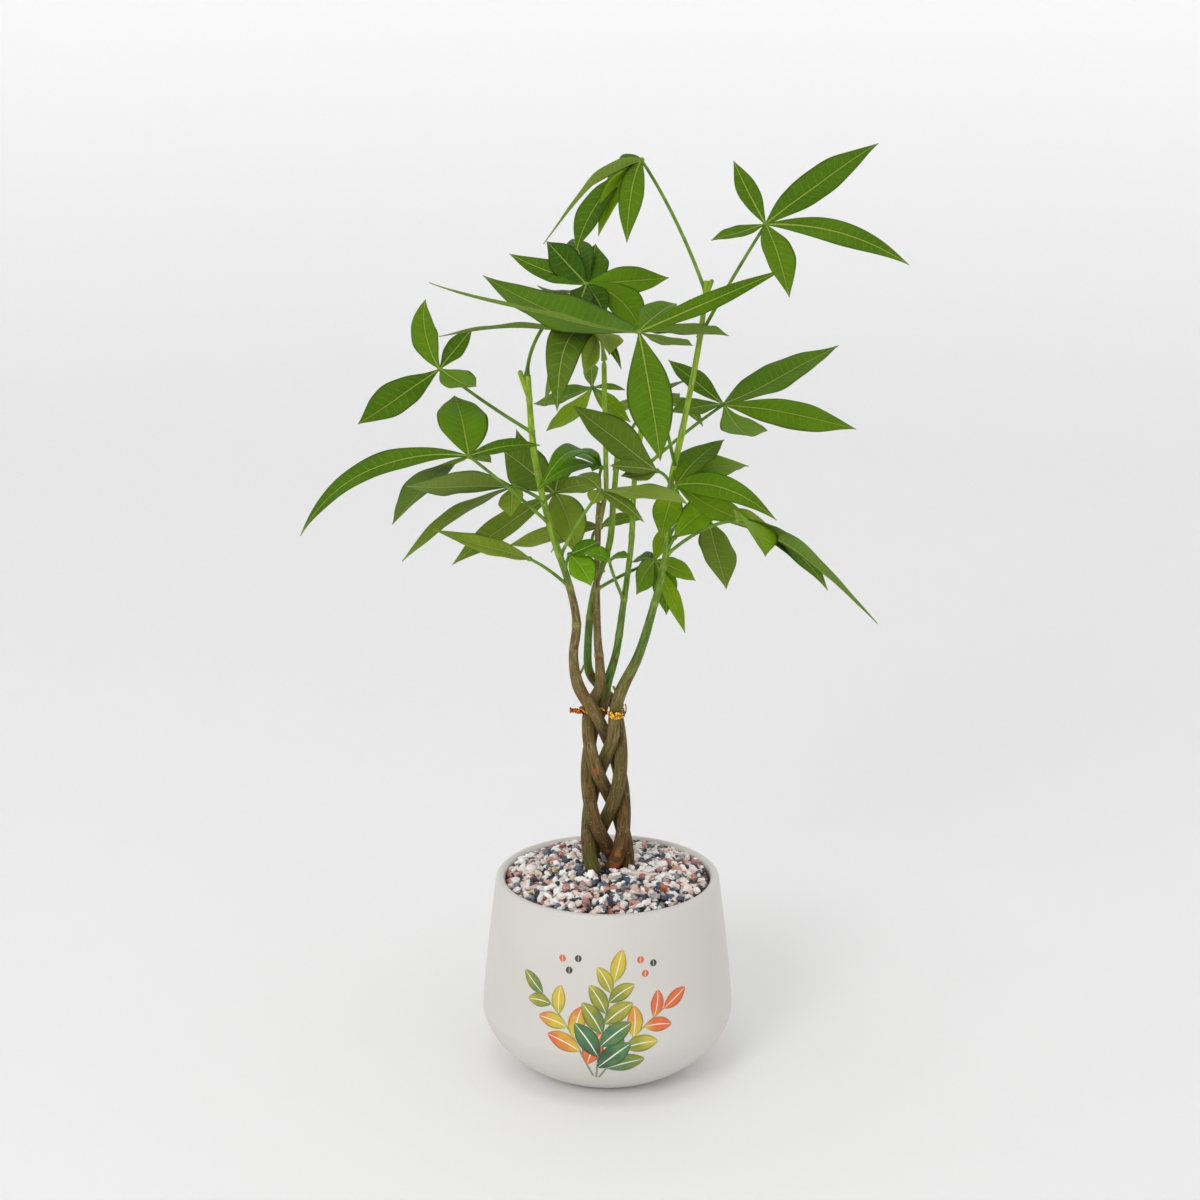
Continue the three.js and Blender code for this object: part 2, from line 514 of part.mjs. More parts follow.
// hub is where the leaflets meet and faces is the way the leaf's upper side looks;
// a leaflet is [heading, rise, length, width, droop, roll, full].
const LEAVES = {
  crown_top: {
    stem: "far_right",
    from: [59, 1, 505],
    by: [41, 5, 547],
    hub: [20, 12, 583.1],
    faces: [285, 60],
    look: LEAF_GREEN,
    leaflets: [
      [237, -20, 113, 20, 16, 70, 0.44],
      [217, -46, 70, 20, 22, 19, 0.65],
      [230, -46, 58, 13, 24, 10],
      [255, -53, 57, 15, 34, -2, 0.51],
      [139, -38, 41, 22, 16, -19, 0.44],
    ],
  },
  upper_right: {
    stem: "far_right",
    from: [56, 0, 479],
    by: [73.5, -12, 513.7],
    hub: [92.9, -22, 548.6],
    faces: [277, 30],
    look: LEAF_GREEN,
    leaflets: [
      [28, 29, 90, 22, 4, -18, 0.46],
      [354, -15, 88, 14, 18, 27],
      [284, -37, 60, 20, 9, -12, 0.47],
      [217, -9, 42, 12, 0, 30, 0.53],
      [141, 56, 43, 13, -3, -8, 0.52],
    ],
  },
  mid_right: {
    stem: "right",
    from: [16.5, 5, 390],
    by: [45.2, 30, 410],
    hub: [73.6, 56, 425.6],
    faces: [277, 37],
    look: LEAF_GREEN,
    leaflets: [
      [40, 15, 106, 28, -4, -29, 0.44],
      [16, -13, 93, 21, 6, 56],
      [284, 0, 82, 26, -25, -5, 0.54],
      [215, 0, 42, 16, 3, 22, 0.57],
      [142, 29, 50, 16, -2, 10, 0.53],
    ],
  },
  crown_left: {
    stem: "far_left",
    from: [-49.3, -2, 455.8],
    by: [-40, 12, 482],
    hub: [-13.2, 24, 506.6],
    faces: [270, 41],
    look: LEAF_GREEN,
    leaflets: [
      [138, 35, 41, 20, 1, -28, 0.49],
      [100, 22, 57, 18, 15, 2, 0.54],
      [81, 30, 41, 22, -13, 1, 0.47],
      [153, 16, 56, 15, -5, -2, 0.47],
      [18, 2, 54, 19, -2, 12, 0.48],
      [351, -40, 44, 22, 30, 6, 0.6],
      [124, -7, 56, 11, -22, 34, 0.51],
      [258, -25, 34, 15, 0],
      [305, -40, 26, 16, 10],
    ],
  },
  crown_middle: {
    stem: "middle",
    from: [-2.5, -2, 465.8],
    by: [-4.5, -1, 478],
    hub: [-6.7, 2, 479.6],
    faces: [270, 45],
    look: LEAF_OLIVE,
    leaflets: [
      [246, -33, 69, 23, 55, 0, 0.48],
      [260, -21, 48, 13, 8, -37, 0.53],
      [279, -5, 49, 23, 22, -31, 0.52],
      [295, -25, 38, 6, 21, -2],
      [195, 2, 98, 20, 8, 58, 0.58],
      [133, -47, 70, 14, 30],
    ],
  },
  big_centre: {
    stem: "far_right",
    from: [41, -2, 399],
    by: [31, -42, 444],
    hub: [17.7, -62, 491.1],
    faces: [275, 53],
    look: LEAF_GREEN,
    leaflets: [
      [136, 9, 133, 36, -14, 7, 0.44],
      [199, 16, 130, 18, -7, 46],
      [25, 18, 101, 11, 0, 32, 0.45],
      [49, -9, 86, 23, 5, -53],
      [61, -15, 72, 15, -4, -45, 0.6],
      [290, -63, 78, 27, 6, 23, 0.53],
      [66, 8, 58, 20, 10],
    ],
  },
  upper_left: {
    stem: "far_left",
    from: [-47, -3, 420],
    by: [-76.5, 14, 435.6],
    hub: [-104.6, 34, 452.4],
    faces: [265, 30],
    look: LEAF_GREEN,
    leaflets: [
      [154, 78, 44, 20, -25, -30],
      [26, 46, 32, 14, 3, -10, 0.53],
      [295, -1, 60, 19, -8, -18, 0.52],
      [218, -24, 67, 24, -2, 8, 0.56],
    ],
  },
  left_long: {
    stem: "far_left",
    from: [-36, -4, 362],
    by: [-58.9, -25, 388.5],
    hub: [-83, -46, 414],
    faces: [265, 53],
    look: LEAF_GREEN,
    leaflets: [
      [178, -26, 114, 17, 32, 0, 0.48],
      [128, -34, 103, 29, 10, 44, 0.46],
      [101, 23, 66, 31, 11, 12, 0.44],
      [19, 5, 45, 11, 10, 2],
      [74, -16, 43, 11, -2, -28],
    ],
  },
  left_pair: {
    stem: "far_left",
    from: [-40, -4, 377],
    by: [-50, 0, 382],
    hub: [-58.7, 6, 383.8],
    faces: [262, 60],
    look: LEAF_OLIVE,
    leaflets: [
      [224, 9, 86, 24, 1, 69, 0.51],
      [214, -24, 88, 18, 11, 22, 0.51],
      [268, -32, 26, 17, 0, 19],
    ],
  },
  left_back: {
    stem: "far_left",
    from: [-38, -4, 372],
    by: [-40, 22, 372],
    hub: [-33.5, 44, 370.6],
    faces: [270, 45],
    look: LEAF_OLIVE,
    leaflets: [
      [135, 23, 51, 28, 5, -23, 0.53],
      [119, 31, 62, 19, -25, -4, 0.51],
      [200, -31, 80, 19, 5, 7, 0.53],
      [288, -34, 54, 24, 25],
      [48, -4, 42, 15],
      [77, 19, 50, 17, 25],
    ],
  },
  middle_left: {
    stem: "middle",
    from: [-5.6, -2, 366],
    by: [-6, 9, 382],
    hub: [-4, 18, 393],
    faces: [270, 65],
    look: LEAF_YOUNG,
    leaflets: [
      [241, 4, 70, 16, 40],
      [222, -8, 54, 14, 30],
      [120, -5, 46, 14, 30],
      [255, 6, 22, 11, 20],
    ],
  },
  centre_front: {
    stem: "far_right",
    from: [39, -2, 382],
    by: [36, -16, 394],
    hub: [29.4, -26, 400.6],
    faces: [277, 40],
    look: LEAF_OLIVE,
    leaflets: [
      [182, 39, 65, 27, -2, 13],
      [227, 13, 43, 10, 4, -5, 0.56],
      [225, 3, 31, 11, -5],
    ],
  },
  right_fan: {
    stem: "far_right",
    from: [38.5, -2, 369],
    by: [42, -9, 380],
    hub: [41.9, -14, 389],
    faces: [288, 50],
    look: LEAF_GREEN,
    leaflets: [
      [54, 20, 56, 22, 16, -26, 0.43],
      [47, 1, 69, 27, 17, -12, 0.38],
      [318, -7, 78, 16, 23, 40, 0.38],
      [340, -22, 55, 21, -9, -4, 0.48],
      [235, -60, 34, 18, 12],
    ],
  },
  right_long: {
    stem: "far_right",
    from: [37.5, -2, 343],
    by: [58, -22, 363],
    hub: [77, -44, 374],
    faces: [283, 65],
    look: LEAF_GREEN,
    leaflets: [
      [312, -19, 122, 23, 14, -63, 0.42],
      [332, -31, 70, 17, 25, -2, 0.54],
      [285, -8, 57, 33, 29, -31, 0.55],
    ],
  },
  right_hanging: {
    stem: "far_right",
    from: [38, -2, 352],
    by: [46, 20, 358],
    hub: [63.4, 34, 355.9],
    faces: [277, 45],
    look: LEAF_OLIVE,
    leaflets: [
      [282, -35, 58, 24, -2, -14, 0.47],
      [25, -24, 56, 14, 30],
      [75, 24, 50, 16, 20],
    ],
  },
  young_shoot: {
    stem: "far_right",
    from: [37, -2, 346],
    by: [39, -5, 350],
    hub: [41, -6, 354],
    faces: [277, 37],
    look: LEAF_YOUNG,
    leaflets: [[15, 36, 40, 20, 10]],
  },
  low_shoot: {
    stem: "far_left",
    from: [-26.5, -5, 333],
    by: [-25.6, -8, 339],
    hub: [-23.5, -9, 344],
    faces: [270, 50],
    look: LEAF_YOUNG,
    leaflets: [
      [345, 26, 21, 12, 0],
      [322, -46, 24, 18],
    ],
  },
  low_right: {
    stem: "middle",
    from: [-6.5, -2, 320],
    by: [10, 22, 323],
    hub: [30.1, 42, 326.9],
    faces: [278, 45],
    look: LEAF_GREEN,
    leaflets: [
      [14, -29, 31, 15, 10, -5, 0.51],
      [328, -63, 50, 12, 4, -12, 0.51],
      [249, -23, 36, 17, 23, -44, 0.58],
      [125, -16, 27, 13, 21, 8],
      [55, -70, 42, 18, 20],
      [70, 30, 34, 11, 10],
    ],
  },
  low_front: {
    stem: "right",
    from: [9.5, 6, 312],
    by: [4, -12, 330],
    hub: [0.7, -24, 344.2],
    faces: [270, 70],
    look: LEAF_YOUNG,
    leaflets: [
      [174, 14, 16, 15, 20, 0, 0.45],
      [344, 12, 14, 12, 20, -10],
      [120, 10, 18, 9, 20],
    ],
  },
  low_middle: {
    stem: "left",
    from: [-4, 6.5, 330],
    by: [-10, 16, 346],
    hub: [-4.7, 24, 353.2],
    faces: [270, 60],
    look: LEAF_OLIVE,
    leaflets: [
      [153, -16, 69, 15, 3, -10, 0.62],
      [150, -30, 42, 16, 25],
      [20, 5, 28, 11, 20],
    ],
  },
  low_left: {
    stem: "far_left",
    from: [-24, -5, 322],
    by: [-36, -10, 334],
    hub: [-48.4, -14, 342.6],
    faces: [260, 63],
    look: LEAF_OLIVE,
    leaflets: [[201, 21, 66, 17, -1, -4, 0.41]],
  },
  front_centre: {
    stem: "far_left",
    from: [-29, -5, 343],
    by: [-18, -24, 368],
    hub: [-4.4, -38, 391],
    faces: [270, 60],
    look: LEAF_OLIVE,
    leaflets: [
      [306, 5, 85, 26, 6, -12, 0.52],
      [300, -10, 52, 9, 8, 30, 0.48],
      [120, 3, 32, 13, 25],
      [242, -32, 12, 12, 18],
    ],
  },
  back_small: {
    stem: "left",
    from: [6.5, 9, 412],
    by: [0, 30, 428],
    hub: [-9.7, 46, 438.3],
    faces: [270, 45],
    look: LEAF_GREEN,
    leaflets: [
      [148, -18, 47, 20, -6, 18, 0.51],
      [235, -22, 53, 16, -14, 19, 0.54],
      [91, 15, 34, 10, 6, -25, 0.57],
      [367, -5, 21, 6, 12, -11, 0.56],
      [336, -37, 33, 12, -6, 5],
    ],
  },
  back_crown: {
    stem: "left",
    from: [5, 9, 395],
    by: [14, 36, 412],
    hub: [27, 58, 426],
    faces: [90, 60],
    look: LEAF_GREEN,
    leaflets: [
      [57, 7, 52, 16],
      [72, -12, 62, 18, 20],
      [122, -19, 44, 16],
      [96, 10, 58, 18, 20],
      [30, -25, 44, 15, 30],
    ],
  },
};

for (const [name, leaf] of Object.entries(LEAVES)) {
  addPart(`leaf_${name}`, leafSolid(leaf), leaf.look);
}

export default parts;
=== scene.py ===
# A young braided money tree in a small glazed pot, dressed over its frame in the order that it
# is put together: pot, printed design, soil, gravel, stems, tie, leaves, and then the studio.
# Sizes are in millimetres until a mesh is made; -Y is the front.
import math

import bpy
import numpy as np
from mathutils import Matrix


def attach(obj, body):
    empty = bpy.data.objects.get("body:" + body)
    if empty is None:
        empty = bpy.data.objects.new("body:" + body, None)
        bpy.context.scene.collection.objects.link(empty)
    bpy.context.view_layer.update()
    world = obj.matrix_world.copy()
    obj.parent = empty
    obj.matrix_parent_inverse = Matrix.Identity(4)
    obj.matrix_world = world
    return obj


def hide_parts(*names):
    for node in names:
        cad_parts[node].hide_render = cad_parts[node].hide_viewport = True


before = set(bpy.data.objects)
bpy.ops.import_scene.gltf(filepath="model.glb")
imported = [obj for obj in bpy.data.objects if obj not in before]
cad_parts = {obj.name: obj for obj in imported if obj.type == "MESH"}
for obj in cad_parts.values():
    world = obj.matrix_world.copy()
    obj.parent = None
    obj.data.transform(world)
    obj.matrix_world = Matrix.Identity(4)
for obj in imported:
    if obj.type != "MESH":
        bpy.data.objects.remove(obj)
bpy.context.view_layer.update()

# ---------------------------------------------------------------------------- pot
# One piece of slip-cast stoneware with a rounded lip, dipped in a warm white satin glaze and
# fired, so that only the foot it stood on in the kiln is bare.

MM = 0.001
POT_RADIUS, POT_HEIGHT, POT_WALL = 81, 130, 6  # the radius is the belly's
BELLY_Z, SHOULDER_Z = 39.5, 57  # of the widest place, and of the point that the side bends by
FOOT_RADIUS, FOOT_BEND = 44, (76.5, 15.5)
RIM_RADIUS = 72  # outside, at the lip
FLOOR_Z, FLOOR_RADIUS, FLOOR_BEND = 8, 38, (71, 19)
LIP_RADIUS = POT_WALL / 2
LIP_MIDDLE = (RIM_RADIUS - LIP_RADIUS, POT_HEIGHT - LIP_RADIUS)
MOUTH_RADIUS = RIM_RADIUS - POT_WALL
POLE_RADIUS = 2  # of the smallest ring of a turned piece, which a flat fan closes
POT_SEGMENTS = 144
BARE_FOOT_Z = 0.8  # the glaze is wiped off below this


def arc(centre, radii, start, end, steps):
    """Points of an ellipse about centre from one angle to another, in degrees."""
    angle = np.radians(np.linspace(start, end, steps))
    return np.array(centre) + radii * np.column_stack([np.cos(angle), np.sin(angle)])


def bend(start, control, end, steps):
    """Points of a quadratic bend: (1-t)^2 start + 2t(1-t) control + t^2 end."""
    t = np.linspace(0, 1, steps)[:, None]
    start, control, end = (np.asarray(p, float) for p in (start, control, end))
    return (1 - t) ** 2 * start + 2 * t * (1 - t) * control + t**2 * end


def closed(rings, uv=None, finish=0, **marks):
    """A closed skin over rings of points, an array (rows, columns, 3): each ring joins its
    neighbours, and each end is shut by a fan onto its own middle. uv is (rows, columns + 1, 2).
    finish is a material's number, for all or for each column. marks are values at the points.
    The skin's signed volume, a sixth of the sum of a . (b x c), says if it has to be turned."""
    rows, columns = rings.shape[:2]
    number = np.arange(rows * columns).reshape(rows, columns)
    number = np.column_stack([number, number[:, :1]])
    points = np.concatenate([rings.reshape(-1, 3), rings[:1].mean(1), rings[-1:].mean(1)])

    def corners(grid):
        return np.stack([grid[:-1, :-1], grid[:-1, 1:], grid[1:, 1:], grid[1:, :-1]], 2)

    def fans(grid, first, last):
        start = np.stack([np.broadcast_to(first, grid[0, 1:].shape), grid[0, 1:], grid[0, :-1]], 1)
        end = np.stack([np.broadcast_to(last, grid[0, 1:].shape), grid[-1, :-1], grid[-1, 1:]], 1)
        return np.concatenate([start, end])

    uv = np.zeros((rows, columns + 1, 2)) if uv is None else uv
    finish = np.broadcast_to(finish, columns)
    skin = {
        "points": points,
        "quads": corners(number).reshape(-1, 4),
        "fans": fans(number, rows * columns, rows * columns + 1),
        "quads_uv": corners(uv).reshape(-1, 4, 2),
        "fans_uv": fans(uv, uv[0].mean(0), uv[-1].mean(0)),
        "finish": np.concatenate([np.tile(finish, rows - 1), finish, finish]),
        "marks": {},
    }
    for name, values in marks.items():
        values = np.asarray(values, float)
        flat = values.reshape(rows * columns, -1)
        ends = np.stack([flat[:columns].mean(0), flat[-columns:].mean(0)])
        skin["marks"][name] = np.concatenate([flat, ends])
    a, b, c, d = (points[skin["quads"][:, i]] for i in range(4))
    if np.sum(a * np.cross(b, c)) + np.sum(a * np.cross(c, d)) < 0:
        for key in ("quads", "fans", "quads_uv", "fans_uv"):
            skin[key] = skin[key][:, ::-1]
    return skin


def make_piece(name, skins, finishes, replaces=(), smooth=True):
    """Joins skins into one mesh object at the origin, which rides on the plant's one body."""
    offsets = np.cumsum([0] + [len(skin["points"]) for skin in skins[:-1]])
    quads = np.concatenate([skin["quads"] + offset for skin, offset in zip(skins, offsets)])
    fans = np.concatenate([skin["fans"] + offset for skin, offset in zip(skins, offsets)])
    mesh = bpy.data.meshes.new(name)
    points = np.concatenate([skin["points"] for skin in skins]) * MM
    mesh.vertices.add(len(points))
    mesh.vertices.foreach_set("co", points.ravel())
    mesh.loops.add(quads.size + fans.size)
    mesh.loops.foreach_set("vertex_index", np.concatenate([quads.ravel(), fans.ravel()]))
    starts = np.concatenate([4 * np.arange(len(quads)), quads.size + 3 * np.arange(len(fans))])
    mesh.polygons.add(len(starts))
    mesh.polygons.foreach_set("loop_start", starts)
    numbers = [skin["finish"][: len(skin["quads"])] for skin in skins]
    numbers += [skin["finish"][len(skin["quads"]) :] for skin in skins]
    mesh.polygons.foreach_set("material_index", np.concatenate(numbers).astype(np.int32))
    mesh.polygons.foreach_set("use_smooth", np.full(len(starts), smooth))
    mesh.update(calc_edges=True)
    corner_uv = [skin[key].reshape(-1, 2) for key in ("quads_uv", "fans_uv") for skin in skins]
    mesh.uv_layers.new(name="UVMap").data.foreach_set("uv", np.concatenate(corner_uv).ravel())
    for mark in skins[0]["marks"]:
        values = np.concatenate([skin["marks"][mark] for skin in skins])
        kind, field = ("FLOAT", "value") if values.shape[1] == 1 else ("FLOAT_VECTOR", "vector")
        mesh.attributes.new(mark, kind, "POINT").data.foreach_set(field, values.ravel())
    for finish in finishes:
        mesh.materials.append(finish)
    piece = bpy.data.objects.new(name, mesh)
    bpy.context.scene.collection.objects.link(piece)
    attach(piece, "root")
    if replaces:
        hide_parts(*replaces)
    return piece


def linear(colour):
    """An sRGB hex colour as linear RGBA: ((c + 0.055) / 1.055)^2.4, or c / 12.92 when dark."""
    c = np.array([int(colour[i : i + 2], 16) for i in (1, 3, 5)]) / 255
    return (*np.where(c > 0.04045, ((c + 0.055) / 1.055) ** 2.4, c / 12.92).tolist(), 1.0)


def connect(tree, node, inputs):
    """Gives a node's inputs, by name or number, a value, a hex colour, a socket, or a node, which
    stands for its first output."""
    for name, value in inputs.items():
        if isinstance(value, bpy.types.Node):
            value = value.outputs[0]
        if isinstance(value, bpy.types.NodeSocket):
            tree.links.new(value, node.inputs[name])
        else:
            node.inputs[name].default_value = linear(value) if isinstance(value, str) else value


def add(tree, kind, inputs=None, stops=(), **settings):
    """Adds a node with its inputs, its own properties, and a colour ramp's places and colours."""
    node = tree.nodes.new("ShaderNode" + kind)
    for name, value in settings.items():
        setattr(node, name, value)
    for place, colour in stops[1:-1]:
        node.color_ramp.elements.new(place).color = linear(colour)
    for end in (0, -1) if stops else ():
        stop = node.color_ramp.elements[end]
        stop.position, stop.color = stops[end][0], linear(stops[end][1])
    connect(tree, node, inputs or {})
    return node


def new_finish(name, inputs):
    """A material of that name with those inputs to its shader; returns it, its tree and shader."""
    finish = bpy.data.materials.new(name)
    finish.use_nodes = True
    shader = finish.node_tree.nodes["Principled BSDF"]
    connect(finish.node_tree, shader, inputs)
    return finish, finish.node_tree, shader


def glazed_stoneware():
    """Satin tin-white glaze: soft highlights, a faint cloudiness, and bare clay under the foot."""
    inputs = {"IOR": 1.5, "Specular IOR Level": 0.4, "Roughness": 0.36}
    finish, tree, shader = new_finish("Satin white stoneware glaze", inputs)
    place = add(tree, "TexCoord").outputs["Object"]
    cloud = add(tree, "TexNoise", {"Vector": place, "Scale": 1 / (60 * MM), "Detail": 1.0})
    tint = add(tree, "ValToRGB", {0: cloud}, [(0.3, "#d0ccc6"), (0.7, "#d3d0cb")])
    height = add(tree, "SeparateXYZ", {0: place}).outputs["Z"]
    bare = add(tree, "Math", {0: height, 1: BARE_FOOT_Z * MM}, operation="LESS_THAN")
    colour = add(tree, "MixRGB", {"Fac": bare, "Color1": tint, "Color2": "#c8b494"})
    connect(tree, shader, {"Base Color": colour})
    return finish


def circle(sides):
    """Angles evenly round a turn, from 0."""
    return np.linspace(0, 2 * np.pi, sides, endpoint=False)


def around(radius, angle, height):
    """Points at (radius cos angle, radius sin angle, height)."""
    flat = (radius * np.cos(angle), radius * np.sin(angle), height)
    return np.stack(np.broadcast_arrays(*flat), -1)


def turned(profile, segments):
    """A profile of (radius, height) points turned about Z, as closed rings."""
    return around(profile[:, :1], circle(segments), profile[:, 1:])


belly_inside = POT_RADIUS - POT_WALL
base = np.array([[POLE_RADIUS, 0], [FOOT_RADIUS * 0.5, 0], [FOOT_RADIUS * 0.97, 0]])
belly = bend((FOOT_RADIUS, 0), FOOT_BEND, (POT_RADIUS, BELLY_Z), 30)
shoulder = bend((POT_RADIUS, BELLY_Z), (POT_RADIUS, SHOULDER_Z), (RIM_RADIUS, LIP_MIDDLE[1]), 24)
outside = np.concatenate([belly, shoulder[1:]])
lip = arc(LIP_MIDDLE, (LIP_RADIUS, LIP_RADIUS), 0, 180, 13)
wall_control, wall_end = (belly_inside, SHOULDER_Z), (belly_inside, BELLY_Z)
wall = bend((MOUTH_RADIUS, LIP_MIDDLE[1]), wall_control, wall_end, 14)
corner = bend(wall_end, FLOOR_BEND, (FLOOR_RADIUS, FLOOR_Z), 12)
inside = np.concatenate([wall[1:], corner[1:], [[POLE_RADIUS, FLOOR_Z]]])
pot_skin = closed(turned(np.concatenate([base, outside, lip[1:], inside]), POT_SEGMENTS))
make_piece("glazed_pot", [pot_skin], [glazed_stoneware()], ["pot"])

# ---------------------------------------------------------------------------- printed design
# A water-slide transfer fired onto the glaze: a plain fan of three leafy sprays with berries,
# washed from plum through greens and yellow to orange. The film stands 0.1 to 0.2 mm proud,
# each mark a little over the one before, so that they cross as overprinted inks do.

FILM_LIFT, OVERPRINT_LIFT = 0.08, 0.006  # of the first layer, and of each over the one before
FILM_DEPTH = 0.15  # how far the film's hidden back lies inside the glaze
FILM_COLUMNS = 9  # points across a mark
LEAF_ANGLE = 44  # between a printed leaf and its stalk
STALK_WASH, STALK_HALF_WIDTHS, STALK_POINTS = 0.34, (0.6, 0.35), 60
BERRY_SIZE = 4.6
PRINTED_RIB = 0.035  # half width of the line left bare, per unit of a leaf's width


def on_pot(sideways, height, lift):
    """Points on the pot's front: sideways is turned into an angle at the belly's radius."""
    angle = sideways / POT_RADIUS - np.pi / 2
    radius = np.interp(height, outside[:, 1], outside[:, 0]) + lift
    return around(radius, angle, height)


def unit(vectors):
    """Each vector over its own length."""
    return vectors / np.linalg.norm(vectors, axis=-1, keepdims=True)


def print_band(line, half, wash, layer):
    """Printed colour along a flat line of points, half wide to each side of it."""
    along = unit(np.gradient(line, axis=0))
    there = np.linspace(-1, 1, FILM_COLUMNS)
    across = np.concatenate([there, there[::-1]])
    lift = np.repeat([FILM_LIFT + layer * OVERPRINT_LIFT, -FILM_DEPTH], FILM_COLUMNS)
    aside = across * half[:, None]
    sideways = line[:, :1] - aside * along[:, 1:]
    height = line[:, 1:] + aside * along[:, :1]
    share = np.linspace(0, 1, len(line))[:, None]
    uv = np.stack(np.broadcast_arrays(share, np.append(across, -1) / 2 + 0.5), -1)
    return closed(on_pot(sideways, height, lift), uv, wash=np.full(aside.shape, wash))


def print_mark(foot, heading, length, width, wash, layer, fullness=0.75, bow=0.0):
    """One printed leaf or berry: half width sin(pi t)^fullness times width / 2 about a line at
    heading degrees that bows sideways by bow sin(pi t)."""
    t = np.linspace(0.015, 0.985, 18)  # its ends are blunt, so that no face there is a sliver
    a = math.radians(heading)
    along = np.array([math.cos(a), math.sin(a)])
    aside = np.array([-math.sin(a), math.cos(a)])
    bulge = np.sin(np.pi * t)
    line = foot + t[:, None] * length * along + bow * bulge[:, None] * aside
    return print_band(line, width / 2 * bulge**fullness, wash, layer)


def print_spray(foot, control, tip, pairs, size, wash, shift, layer):
    """A curved printed stalk with alternate leaves along it, from 1.08 to 0.66 of the size given,
    and one at the tip. wash runs from the first leaf's colour by shift to the last one's."""
    line = bend(foot, control, tip, STALK_POINTS)
    headings = np.degrees(np.arctan2(*np.gradient(line, axis=0).T[::-1]))
    half = np.linspace(*STALK_HALF_WIDTHS, STALK_POINTS)
    marks = [print_band(line, half, STALK_WASH, layer)]
    for number in range(2 * pairs):
        share = (number + 1.2) / (2 * pairs + 1)
        spot = int(share * (STALK_POINTS - 2))
        side = 1 if number % 2 else -1
        length = size * (1.08 - 0.42 * share)
        colour = wash + shift * share + 0.05 * math.sin(5 * number)
        heading = headings[spot] + LEAF_ANGLE * side
        over = layer + 1 + number
        marks.append(print_mark(line[spot], heading, length, length / 2, colour, over, bow=-side))
    marks.append(print_mark(line[-1], headings[-1], size * 0.8, size * 0.38, wash + shift, layer))
    return marks


def transfer_print():
    """Fired overglaze colour: the hue runs with the wash, with blooms 7 mm across and with the way
    to the tip, pigment pools at the edge, and a line of glaze is left along each midrib."""
    finish, tree, shader = new_finish("Fired transfer colours", {"IOR": 1.5, "Roughness": 0.38})
    place = add(tree, "TexCoord").outputs["Object"]
    bloom = add(tree, "TexNoise", {"Vector": place, "Scale": 1 / (7 * MM), "Detail": 4.0})
    wash = add(tree, "Attribute", attribute_name="wash").outputs["Fac"]
    uv = add(tree, "SeparateXYZ", {0: add(tree, "UVMap")})
    drift = add(tree, "Math", {0: uv.outputs["X"], 1: 0.16, 2: wash}, operation="MULTIPLY_ADD")
    spread = add(tree, "Math", {0: bloom, 1: 0.3, 2: drift}, operation="MULTIPLY_ADD")
    washes = [(0.1, "#5c2238"), (0.28, "#2f4630"), (0.45, "#4b7a4c")]
    washes += [(0.6, "#7f8b2c"), (0.78, "#cdbb33"), (0.95, "#de6a34")]
    hue = add(tree, "ValToRGB", {0: spread}, washes)
    centred = add(tree, "Math", {0: uv.outputs["Y"], 1: 0.5}, operation="SUBTRACT")
    off_rib = add(tree, "Math", {0: centred}, operation="ABSOLUTE")
    at_edge = {"Value": off_rib, "From Min": 0.36, "From Max": 0.5, "To Max": 0.45}
    pooled = {"Fac": add(tree, "MapRange", at_edge), "Color1": hue, "Color2": "#4a4436"}
    ink = add(tree, "MixRGB", pooled, blend_type="MULTIPLY")
    rib = add(tree, "Math", {0: off_rib, 1: PRINTED_RIB}, operation="LESS_THAN")
    colour = add(tree, "MixRGB", {"Fac": rib, "Color1": ink, "Color2": "#e9e6de"})
    connect(tree, shader, {"Base Color": colour})
    return finish


# Foot, control and tip of each stalk, pairs of leaves, their size, wash, shift and first layer.
SPRAYS = [
    ((-8, 22), (-4, 60), (4, 88), 4, 27, 0.12, 0.42, 16),
    ((-10, 23), (-20, 58), (-44, 76), 3, 25, 0.86, -0.5, 0),
    ((-6, 22), (10, 52), (37, 68), 3, 25, 0.2, 0.62, 8),
]
BERRIES = [(-26, 92), (-31, 99), (-20, 100), (25, 90), (31, 96), (22, 99)]
BERRY_WASHES = (0.02, 0.88)  # plum and orange in turn

prints = [mark for spray in SPRAYS for mark in print_spray(*spray)]
for number, berry in enumerate(BERRIES):
    wash = BERRY_WASHES[number % 2]
    prints.append(print_mark(berry, 90, BERRY_SIZE, BERRY_SIZE, wash, 0, fullness=0.5))
make_piece("printed_sprays", prints, [transfer_print()])

# ---------------------------------------------------------------------------- soil
# Damp peat mix that fills the pot to under the gravel. Its plain CAD form is right, since the
# gravel covers it all; it only takes its own crumbly look.

SOIL_TOP_Z = 116


def peat():
    """Peat and bark crumbs: near black, 1 to 3 mm clumps, fully matt."""
    finish, tree, shader = new_finish("Damp peat potting mix", {"Roughness": 0.95})
    place = add(tree, "TexCoord").outputs["Object"]
    clump = add(tree, "TexNoise", {"Vector": place, "Scale": 1 / (2.5 * MM), "Detail": 6.0})
    stops = [(0.35, "#1d130c"), (0.6, "#3c2a1c"), (0.75, "#6b5138")]
    tone = add(tree, "ValToRGB", {0: clump}, stops)
    relief = add(tree, "Bump", {"Height": clump, "Strength": 0.8, "Distance": 1 * MM})
    connect(tree, shader, {"Base Color": tone, "Normal": relief})
    return finish


soil_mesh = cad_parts["soil"].data
soil_mesh.materials.clear()
soil_mesh.materials.append(peat())

# ---------------------------------------------------------------------------- stems, their places
# Five seedlings plaited together while soft. The plait runs from the soil to the tie; each
# strand swings from side to side once, and to and fro twice, in a turn of it.

ROOT_END_Z = 86
TIE_Z = 240
BRAID_PERIOD = 196
BRAID_STEP = 14  # between a strand's points below the tie
